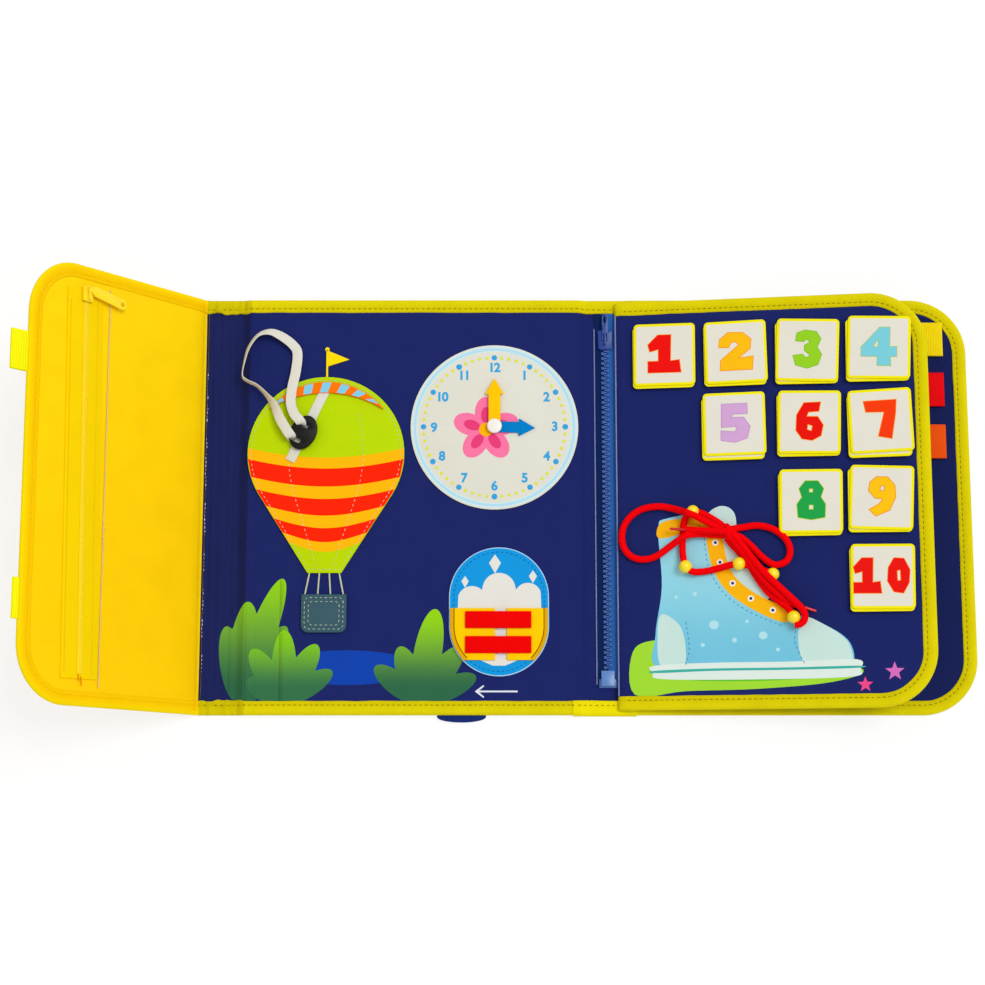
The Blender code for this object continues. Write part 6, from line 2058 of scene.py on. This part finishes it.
@dataclass
class Tiles:
    """Ten number tiles of two felt cards each, and the loop pads that hold them on the page."""

    layout: Layout
    width: float = 0.0438
    height: float = 0.0452
    first_x: float = 0.027
    first_y: float = 0.107
    pitch_x: float = 0.051
    pitch_y: float = 0.0544
    turns: tuple[float, ...] = (-0.3, 1.1, -2.9, -2.7, 0.6, -1.8, 1.9, -1, -2.9, -1)
    nudges: tuple[Point, ...] = (
        (0.0014, -0.0008), (0.0011, -0.0008), (0.0006, -0.0013), (-0.0006, -0.0012), (-0.0008, 0.0014),
        (0.0006, 0.0010), (-0.0009, 0.0004), (0.0004, -0.0010), (-0.0020, 0.0003), (-0.0028, -0.0006),
    )
    low: float = 0.0109
    top: float = 0.0129
    border: float = 0.0019
    round: float = 0.003
    pad: float = 0.031
    # Plain angular numerals in a unit box: the outline, then any holes
    numeral_shares: dict[str, tuple[tuple[Point, ...], ...]] = field(default_factory=lambda: {
        "0": (((.30, 1), (.74, .98), (1, .66), (.96, .30), (.70, 0), (.28, .04), (0, .34), (.04, .72)),
              ((.44, .34), (.60, .36), (.58, .66), (.42, .64))),
        "1": (((.30, 1), (.70, 1), (.68, .30), (.95, .33), (1, 0), (0, 0), (0, .30), (.32, .30), (.32, .62),
        (.06, .56),
               (0, .74)),),
        "2": (((.02, .62), (.05, .82), (.30, 1), (.72, .98), (.95, .80), (.92, .55), (.55, .30), (1, .34),
        (.96, 0),
               (.04, 0), (.06, .26), (.60, .66), (.50, .76), (.36, .72), (.30, .60)),),
        "3": (((.08, .72), (.12, .92), (.40, 1), (.80, .96), (.96, .78), (.84, .56), (1, .36), (.88, .10),
        (.50, 0),
               (.10, .08), (0, .32), (.32, .36), (.46, .26), (.62, .34), (.40, .46), (.40, .60), (.60, .68),
               (.46, .78),
               (.36, .70)),),
        "4": (((.52, 1), (.80, 1), (.80, .48), (1, .50), (1, .24), (.82, .24), (.84, 0), (.46, 0),
        (.46, .24), (0, .24),
               (0, .48)), ((.48, .48), (.48, .72), (.32, .48))),
        "5": (((.10, 1), (.92, 1), (.92, .74), (.42, .74), (.42, .64), (.80, .64), (1, .40), (.90, .10),
        (.50, 0),
               (.06, .06), (.06, .30), (.50, .26), (.60, .34), (.52, .42), (.08, .40)),),
        "6": (((.30, .98), (.90, 1), (.84, .76), (.46, .74), (.40, .62), (.80, .62), (1, .40), (.92, .12),
        (.60, 0),
               (.24, .04), (.02, .26), (.04, .66)), ((.42, .28), (.58, .24), (.62, .38), (.44, .42))),
        "7": (((0, 1), (1, 1), (.96, .66), (.80, 0), (.40, .08), (.62, .70), (.06, .72)),),
        "8": (((.30, 1), (.74, 1), (.94, .80), (.84, .58), (1, .40), (.98, .06), (.50, 0), (.04, .06),
        (0, .40),
               (.18, .58), (.08, .80)), ((.43, .70), (.57, .70), (.57, .80), (.43, .80)),
              ((.42, .26), (.58, .26), (.58, .38), (.42, .38))),
        "9": (((.30, 1), (.70, 1), (.96, .80), (1, .50), (.80, .16), (.30, 0), (.06, .16), (.40, .30),
        (.56, .44),
               (.26, .46), (.02, .64), (.06, .86)), ((.42, .64), (.58, .64), (.60, .78), (.44, .78))),
    })

    inks: tuple[Colour, ...] = (
        tint(240, 18, 14), tint(254, 190, 18), tint(150, 210, 38), tint(124, 208, 222), tint(212, 166, 214),
        tint(236, 20, 12), tint(250, 60, 14), tint(34, 164, 74), tint(254, 196, 20), tint(238, 22, 16),
    )

    rims: tuple[Colour, ...] = (
        tint(250, 150, 20), tint(250, 140, 20), tint(120, 190, 20), tint(176, 200, 60), tint(190, 140, 200),
        tint(250, 170, 30), tint(250, 160, 30), tint(200, 210, 40), tint(240, 130, 20), tint(250, 150, 20),
    )
    slimness: dict[str, float] = field(default_factory=lambda: {
        "0": 0.80, "1": 1.0, "2": 1.04, "3": 0.84, "4": 1.04, "5": 0.92, "6": 0.82, "7": 0.96, "8": 0.84,
        "9": 0.80,
    })

    def places(self) -> list[tuple[float, float, float]]:
        """Middles and turns of the ten tiles, in the page's flat lie."""
        found = []
        for row in range(4):
            for column in range(row, 4):
                right, up = self.nudges[len(found)]
                x = self.layout.page_fold + self.first_x + self.pitch_x * column + right
                turn = math.radians(self.turns[len(found)])
                found.append((x, self.first_y - self.pitch_y * row + up, turn))
        return found

    def card(self, low: float, high: float, shift: Point, x: float, y: float, turn: float) -> list[Mesh]:
        """One card: a yellow rim and a cream face."""
        half_w, half_h = self.width / 2, self.height / 2
        outer, inner = (
            shifted(rounded(b - half_w, b - half_h, half_w - b, half_h - b, self.round - b), *shift)
            for b in (0.0, self.border)
        )
        rim = plate([shifted(outer, x, y, 1.0, turn)], low, high, 0.00025)
        face = plate([shifted(inner, x, y, 1.0, turn)], high - 0.0002, high + 0.00004)
        return [coloured(rim, LOOKS.card_edge), coloured(face, LOOKS.card)]

    def numeral(self, digit: str, width: float, height: float) -> list[Loop]:
        """A numeral's loops about its middle."""
        shares = self.numeral_shares[digit]
        return [[((px - 0.5) * width, (py - 0.5) * height) for px, py in loop] for loop in shares]

    def build(self) -> None:
        """Make the tiles and the pads."""
        pads = []
        for index, (x, y, turn) in enumerate(self.places(), 1):
            slip = 0.0012 if index in (4, 5, 7, 9) else 0.0008
            drop = 0.0031 if index in (5, 7) else 0.0017
            meshes = self.card(self.low, self.low + 0.0009, (-slip, -drop), x, y, turn * 0.3)
            meshes += self.card(self.low + 0.00095, self.top, (0.0, 0.0), x, y, turn)
            ink = LOOKS.ink(f"numeral_{index}", self.inks[index - 1])
            rim = LOOKS.ink(f"numeral_rim_{index}", self.rims[index - 1])
            text = str(index)
            size = 0.0235 if len(text) == 1 else 0.0190
            tall = 0.0275 if len(text) == 1 else 0.0245
            for place, digit in enumerate(text):
                off = (place - (len(text) - 1) / 2) * (size + 0.0022)
                own = self.numeral(digit, size * self.slimness[digit], tall)
                loops = [shifted(shifted(loop, off, 0.0005), x, y, 1.0, turn) for loop in own]
                border = plate(loops, self.top - 0.0001, self.top + 0.00008, grow=0.00045)
                meshes.append(coloured(border, rim))
                meshes.append(patch(ink, loops, self.top - 0.0001, self.top + 0.00013))
            whole = joined(meshes)
            whole.transform(self.layout.page_matrix)
            add_piece(f"tile_cards_{index}", whole, [f"tile_{index}"],
                stands_for=[f"number_tile_{index}"])
            half = self.pad / 2
            loop = shifted(rounded(-half, -half, half, half, 0.002), x, y, 1.0, turn)
            pads.append(patch(LOOKS.hook_pad, [loop], 0.0080, 0.0106, 0.0004))
        mesh = joined(pads)
        mesh.transform(self.layout.page_matrix)
        add_piece("page_pads", mesh, ["page"])


@dataclass
class PagePrints:
    """A plain high-top shoe on grass, and two small stars, printed on the page."""

    layout: Layout
    cloth: ClothBody
    # Each shape's name, colour, height over the cloth and outline, all lengths in millimetres
    shapes: tuple[tuple[str, Colour, float, tuple[Point, ...]], ...] = (
        ("grass", tint(162, 220, 54), 0.10, (
            (3, -106), (20, -98), (50, -100), (90, -104), (130, -110), (162, -121), (140, -129), (90, -133),
            (40, -134), (4, -136))),
        ("grass_shade", tint(104, 196, 46), 0.14, (
            (22, -122), (60, -117), (110, -118), (148, -122), (110, -127), (50, -127))),
        ("shoe_tongue", tint(196, 226, 220), 0.14, (
            (56, -12), (66, -4), (76, -10), (78, -34), (88, -54), (100, -66), (92, -72), (74, -56),
            (62, -30))),
        ("shoe_upper", tint(116, 196, 222), 0.18, (
            (22, -118), (19, -95), (24, -60), (22, -20), (28, -12), (60, -10), (66, -30), (70, -50),
            (84, -66), (108, -78), (134, -88), (152, -100), (156, -114), (150, -118), (85, -118))),
        ("shoe_toe", tint(200, 228, 220), 0.22, (
            (122, -84), (136, -89), (151, -100), (155, -113), (150, -117), (124, -117), (118, -100))),
        ("shoe_heel", tint(200, 228, 220), 0.22, (
            (22.5, -116), (20.5, -96), (23.5, -80), (36, -88), (40, -104), (38, -116))),
        ("shoe_collar", tint(250, 186, 16), 0.24, (
            (22.5, -26), (24, -15), (42, -12), (60.5, -10.5), (63, -19), (44, -22))),
        ("shoe_facing", tint(250, 186, 16), 0.24, (
            (56, -21.5), (65.5, -21.5), (71.5, -48), (85.5, -64), (108.5, -76.2), (118, -81.5), (108, -87),
            (86, -77), (69, -64), (59, -46))),
        ("shoe_sole", tint(222, 236, 228), 0.26, (
            (18, -116), (60, -114.5), (110, -114.5), (157, -113.5), (160, -120), (154, -125.5), (90, -126.5),
            (24, -125.5), (17, -121))),
        ("sole_line", tint(64, 176, 164), 0.30, (
            (19, -119.5), (60, -118.5), (110, -118.5), (158, -118), (158, -119.5), (110, -120.2),
            (60, -120.2), (19, -121.2))),
    )
    print_names: dict[str, str] = field(default_factory=lambda: {
        "grass": "grass_print", "grass_shade": "grass_shade_print", "shoe_tongue": "tongue_print",
        "shoe_upper": "shoe_print", "shoe_toe": "toe_print", "shoe_heel": "heel_print",
        "shoe_collar": "collar_print", "shoe_facing": "facing_print", "shoe_sole": "sole_print",
        "sole_line": "sole_line_print",
    })
    upper_fade: tuple[Colour, Point] = (tint(150, 218, 234), (-0.112, -0.040))
    eyelets: tuple[Point, ...] = ((62, -30), (65, -44), (73.5, -59), (86, -70), (101, -78.5))
    dots: tuple[Place, ...] = (
        (38, -50, 2.6), (47, -66, 1.6), (34, -68, 1.3), (60, -88, 3.4), (74, -99, 1.8), (52, -102, 1.5),
        (94, -96, 3.0), (104, -106, 1.4), (83, -86, 1.3))
    seams: tuple[tuple[Point, ...], ...] = (
        ((40.5, -86.5), (42.5, -104), (40, -115)), ((119.5, -83.5), (115.5, -100), (121.5, -115)),
        ((54, -24), (57, -47), (67, -65.5), (84, -79), (106, -89)))
    stars: tuple[tuple[Place, Colour], ...] = (
        ((163, -131, 5.6), tint(238, 74, 140)), ((183.2, -122.2, 6.8), tint(214, 110, 190)))

    def put(self, label: str, points: Sequence[Point], finish: Finish, lift: float) -> None:
        """Print one shape, whose places and lift are in millimetres from the page's fold."""
        loop = [(self.layout.page_fold + x / 1000, y / 1000) for x, y in points]
        self.cloth.leaves["page"].printed(label, [loop], finish, lift / 1000)

    def build(self) -> None:
        """Print the page."""
        for label, colour, lift, knots in self.shapes:
            fade = self.upper_fade if label == "shoe_upper" else ()
            finish = LOOKS.ink(self.print_names[label], colour, *fade)
            self.put(label, curved(knots, closed=True), finish, lift)
        eyelet = LOOKS.ink("eyelet_print", tint(246, 246, 238))
        hole = LOOKS.ink("hole_print", tint(40, 60, 110))
        for index, place in enumerate(self.eyelets, 1):
            self.put(f"eyelet_{index}", oval(place, 2.2, 2.2, 20), eyelet, 0.28)
            self.put(f"eyelet_hole_{index}", oval(place, 1.1, 1.1, 16), hole, 0.30)
        dot = LOOKS.ink("dot_print", tint(176, 226, 236))
        for index, (x, y, size) in enumerate(self.dots, 1):
            self.put(f"shoe_dot_{index}", oval((x, y), size, size / 1.08, 24), dot, 0.22)
        high = self.cloth.page_top + 0.0002
        paths = [
            [(self.layout.page_fold + x / 1000, y / 1000, high) for x, y in curved(seam)]
            for seam in self.seams]
        dashes = self.cloth.sown.grow(paths, stitch_shape(0.0022, 0.0006, 0.00012), LOOKS.print_dash, 0.0036)
        dashes.transform(self.layout.page_matrix)
        add_piece("shoe_dashes", dashes, ["page"])
        for index, ((x, y, size), colour) in enumerate(self.stars, 1):
            turns = [math.pi / 2 + step * math.pi / 5 for step in range(10)]
            reaches = [size if step % 2 == 0 else size * 0.42 for step in range(10)]
            star = [(x + r * math.cos(a), y + r * math.sin(a)) for a, r in zip(turns, reaches)]
            self.put(f"star_{index}", star, LOOKS.ink(f"star_print_{index}", colour), 0.12)


@dataclass
class Lacing:
    """The lacing beads, the red lace through them, its bow, its tails and the knot."""

    layout: Layout
    sown_points: Sown
    radius: float = 0.0024
    page_top: float = 0.0083
    page_width: float = 0.213
    page_half: float = 0.147
    bead_shares: tuple[Point, ...] = (
        (0.2197, -0.0565), (0.1930, -0.3211), (0.3681, -0.3129), (0.4775, -0.3667), (0.5418, -0.5721))
    bead_radius: float = 0.0046
    bead_lift: float = 0.0007
    knot_place: Point = (0.0716, -0.0236)
    knot_size: Place = (0.0080, 0.0118, 0.0092)
    tip_radius: float = 0.0010
    tip_length: float = 0.011
    # The lace's routes between its passes through the knot: along and up the page, and height over it
    routes: dict[str, tuple[Place, ...]] = field(default_factory=lambda: {
        "left_loop": (
            (0.0708, -0.0213, 0.0052), (0.0638, -0.0200, 0.0052), (0.0552, -0.0155, 0.0080),
            (0.0485, -0.0124, 0.0118), (0.0440, -0.0104, 0.0118), (0.0395, -0.0082, 0.0078),
            (0.0307, -0.0049, 0.0028), (0.0219, -0.0036, 0.0026), (0.0112, -0.0052, 0.0026),
            (0.0026, -0.0105, 0.0026), (-0.0028, -0.0192, 0.0026), (-0.0030, -0.0303, 0.0026),
            (0.0022, -0.0383, 0.0026), (0.0108, -0.0412, 0.0026), (0.0205, -0.0391, 0.0026),
            (0.0303, -0.0327, 0.0042), (0.0409, -0.0262, 0.0076), (0.0497, -0.0243, 0.0050),
            (0.0620, -0.0250, 0.0034), (0.0707, -0.0255, 0.0036),
        ),
        "right_loop": (
            (0.0725, -0.0213, 0.0034), (0.0830, -0.0198, 0.0026), (0.0918, -0.0190, 0.0026),
            (0.1021, -0.0216, 0.0026), (0.1105, -0.0280, 0.0026), (0.1140, -0.0366, 0.0026),
            (0.1114, -0.0443, 0.0026), (0.1034, -0.0470, 0.0026), (0.0950, -0.0418, 0.0026),
            (0.0863, -0.0326, 0.0028), (0.0794, -0.0268, 0.0030), (0.0725, -0.0248, 0.0034),
        ),
        "lacing": (
            (0.0690, -0.0205, 0.0030), (0.0656, -0.0170, 0.0026), (0.0587, -0.0124, 0.0028),
            (0.0525, -0.0094, 0.0044), (0.0468, -0.0083, 0.0053), (0.0427, -0.0110, 0.0048),
            (0.0402, -0.0165, 0.0030), (0.0394, -0.0244, 0.0026), (0.0390, -0.0351, 0.0028),
            (0.0398, -0.0418, 0.0046), (0.0413, -0.0476, 0.0053), (0.0462, -0.0508, 0.0044),
            (0.0520, -0.0508, 0.0028), (0.0580, -0.0500, 0.0026), (0.0668, -0.0480, 0.0036),
            (0.0725, -0.0468, 0.0050), (0.0784, -0.0460, 0.0053), (0.0845, -0.0472, 0.0044),
            (0.0894, -0.0490, 0.0034), (0.0955, -0.0512, 0.0044), (0.1017, -0.0539, 0.0053),
        ),
        "long_strand": (
            (0.0702, -0.0275, 0.0030), (0.0742, -0.0325, 0.0028), (0.0792, -0.0382, 0.0028),
            (0.0857, -0.0470, 0.0028), (0.0912, -0.0565, 0.0026), (0.0985, -0.0665, 0.0026),
            (0.1070, -0.0738, 0.0028), (0.1118, -0.0780, 0.0040), (0.1152, -0.0828, 0.0053),
        ),
        "return_strand": (
            (0.0738, -0.0245, 0.0070), (0.0770, -0.0280, 0.0078), (0.0818, -0.0345, 0.0080),
            (0.0880, -0.0430, 0.0082), (0.0948, -0.0518, 0.0092), (0.1034, -0.0608, 0.0090),
            (0.1117, -0.0688, 0.0082), (0.1172, -0.0742, 0.0080), (0.1212, -0.0786, 0.0072),
            (0.1231, -0.0828, 0.0064), (0.1224, -0.0868, 0.0057), (0.1193, -0.0892, 0.0053),
            (0.1158, -0.0894, 0.0053),
        ),
        "left_tail": (
            (0.0720, -0.0235, 0.0090), (0.0640, -0.0232, 0.0086), (0.0560, -0.0226, 0.0082),
            (0.0498, -0.0221, 0.0078), (0.0415, -0.0214, 0.0076),
        ),
        "right_tail": (
            (0.0725, -0.0262, 0.0064), (0.0775, -0.0330, 0.0066), (0.0845, -0.0426, 0.0066),
            (0.0908, -0.0518, 0.0064), (0.0978, -0.0608, 0.0062), (0.1055, -0.0682, 0.0056),
            (0.1125, -0.0734, 0.0038), (0.1205, -0.0764, 0.0026),
        ),
    })

    def world(self, places: Sequence[Sequence[float]]) -> list[Place]:
        """Places on the page brought to where the page lies."""
        matrix = self.layout.page_matrix
        return [
            tuple(matrix @ Vector((self.layout.page_fold + x, y, self.page_top + z))) for x, y, z in places
        ]

    def knot(self) -> Piece:
        """The tied knot: three wraps of lace pulled tight round each other."""
        x, y = self.knot_place
        z = 0.0003 + self.knot_size[2] / 2
        meshes = []
        for index, (lean, stretch) in enumerate(((0.12, 1.22), (0.95, 0.90), (-0.6, 0.84))):
            line = []
            for step in range(25):
                turn = 2 * math.pi * step / 24
                across = Vector((
                    math.sin(turn) * 0.0022 * math.sin(lean),
                    math.cos(turn) * self.knot_size[1] * 0.30 * stretch,
                    math.sin(turn) * self.knot_size[2] * 0.29 * stretch,
                ))
                across.rotate(Matrix.Rotation(lean, 3, "Z"))
                line.append((x + across.x + 0.0006 * (index - 1), y + across.y, z + across.z))
            meshes.append(piped(LOOKS.lace, self.world(line), self.radius * 0.92, 12))
        core = plump(tuple(size * 0.36 for size in self.knot_size), 3)
        place = (self.layout.page_fold + x, y, self.page_top + z)
        core.transform(self.layout.page_matrix @ Matrix.Translation(place))
        meshes.append(coloured(stamped(tidied(core)), LOOKS.lace))
        return add_piece("lace_knot", joined(meshes), ["page"])

    def strand(self, name: str, label: str, ends_at: str, tipped: bool, knot: Piece | None) -> Piece:
        """One stretch of the lace.

        Args:
            name: Its route's name.
            label: The piece's name.
            ends_at: What its far end is; not used.
            tipped: Whether it ends in a plastic tip.
            knot: The knot, gathered in a list that nothing uses.

        Returns:
            The piece.
        """
        points = self.world(evenly(self.routes[name], 0.0011))
        item = add_piece(label, piped(LOOKS.lace, points, self.radius, 14), ["page"])
        carried = [knot] if knot is not None else []
        if tipped:
            last, before = Vector(points[-1]), Vector(points[-4])
            ahead = (last - before).normalized()
            shares = (-0.12, 0.0, 0.05, 0.2, 0.9, 1.0)
            line = [tuple(last + ahead * self.tip_length * share) for share in shares]
            radii = [self.radius * share for share in (0.95, 0.8)]
            radii += [self.tip_radius * share for share in (1.15, 1.0, 1.0, 0.7)]
            tip = add_piece(f"{label}_tip", piped(LOOKS.tip, line, radii, 12), ["page"])
            carried.append(tip)
        return item

    def beads(self) -> None:
        """Five glossy beads on short necks."""
        lift = self.bead_lift + self.bead_radius
        neck = 0.0020
        profile = [(neck, -0.0006), (neck, 0.0009)]
        start = math.asin(min(neck / self.bead_radius, 1.0))
        for step in range(17):
            turn = start + (math.pi - start) * step / 16
            profile.append((self.bead_radius * math.sin(turn), lift - self.bead_radius * math.cos(turn)))
        profile[-1] = (0.0, profile[-1][1])
        mesh = bpy.data.meshes.new("bead")
        points = [(0.0, 0.0, profile[0][1])] + [(r, 0.0, z) for r, z in profile]
        mesh.from_pydata(points, [(i, i + 1) for i in range(len(points) - 1)], [])
        guide = bpy.data.objects.new("bead", mesh)
        screw = guide.modifiers.new("turn", "SCREW")
        screw.steps = screw.render_steps = 28
        screw.use_merge_vertices = True
        screw.merge_threshold = 0.00001
        bead = tidied(settled(guide), 60.0)
        width, half = self.page_width, self.page_half
        spots = [[(self.layout.page_fold + a * width, b * half, self.page_top)] for a, b in self.bead_shares]
        whole = self.sown_points.grow(spots, bead, LOOKS.bead, wander=0.0)
        whole.transform(self.layout.page_matrix)
        studs = [f"lacing_stud_{index}" for index in range(1, 6)]
        add_piece("lace_beads", tidied(whole, 60.0), ["page"], stands_for=studs)

    def build(self) -> None:
        """Make the lace first, then its beads."""
        knot = self.knot()
        main = self.strand("lacing", "lace_lacing", "object", False, knot)
        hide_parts("lace")
        self.strand("long_strand", "lace_long_strand", "object", False, None)
        self.strand("return_strand", "lace_return_strand", "object", False, None)
        bow = self.strand("left_loop", "lace_bow_left", "knot", False, None)
        anchor = self.world([(*self.knot_place, 0.0)])[0]
        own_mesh(bow)
        self.strand("right_loop", "lace_bow_right", "knot", False, None)
        self.strand("left_tail", "lace_tail_left", "fitting", True, None)
        self.strand("right_tail", "lace_tail_right", "fitting", True, None)
        self.beads()


@dataclass
class Webbing:
    """The loops on the cover and the shoulder straps under the back."""

    def build(self) -> None:
        """Make the webbing pieces."""
        for node, finish in (
            ("webbing_loop_yellow", LOOKS.loop_yellow), ("webbing_loop_red", LOOKS.loop_red),
            ("webbing_loop_orange", LOOKS.loop_orange),
        ):
            softened(node, finish, "cover", 0.0003, f"{node}_ribbed")
        softened("shoulder_strap_left", LOOKS.strap, "back", 0.0005, "strap_webbing_left")
        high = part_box("shoulder_strap_right")[1]
        left, right, straight, low = -0.0514, -0.0170, -0.1510, -0.1549
        loop = [(right, high.y), (left, high.y), (left, straight)]
        loop += arc(((left + right) / 2, straight), 1.0, math.pi, 2 * math.pi, 16)[1:-1]
        middle, wide, deep = (left + right) / 2, (right - left) / 2, straight - low
        loop = [
            (x, y) if y > straight - 0.0001
            else (middle + (x - middle) * wide, straight + (y - straight) * deep)
            for x, y in loop
        ] + [(right, straight)]
        add_piece("strap_webbing_right", patch(LOOKS.strap, [loop], 0.0, high.z, 0.0004), ["back"],
                         stands_for=["shoulder_strap_right"])


def main() -> None:
    """Build every piece in order."""
    logging.basicConfig(level=logging.INFO, format="%(message)s")
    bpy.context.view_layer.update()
    layout = Layout()
    Studio().build()
    rows, points = Sown(along=True), Sown(along=False)
    Lacing(layout, points).build()
    Elastic(layout).build()
    cloth = ClothBody(layout, rows)
    cloth.build()
    GardenPrints(cloth).build()
    PagePrints(layout, cloth).build()
    Balloon(layout, rows).build()
    Clock(layout, points).build()
    Sandal(layout, rows).build()
    SpineZip(layout, rows).build()
    FlapPocket(layout, rows).build()
    Tiles(layout).build()
    Webbing().build()
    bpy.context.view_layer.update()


if __name__ == "__main__":
    main()
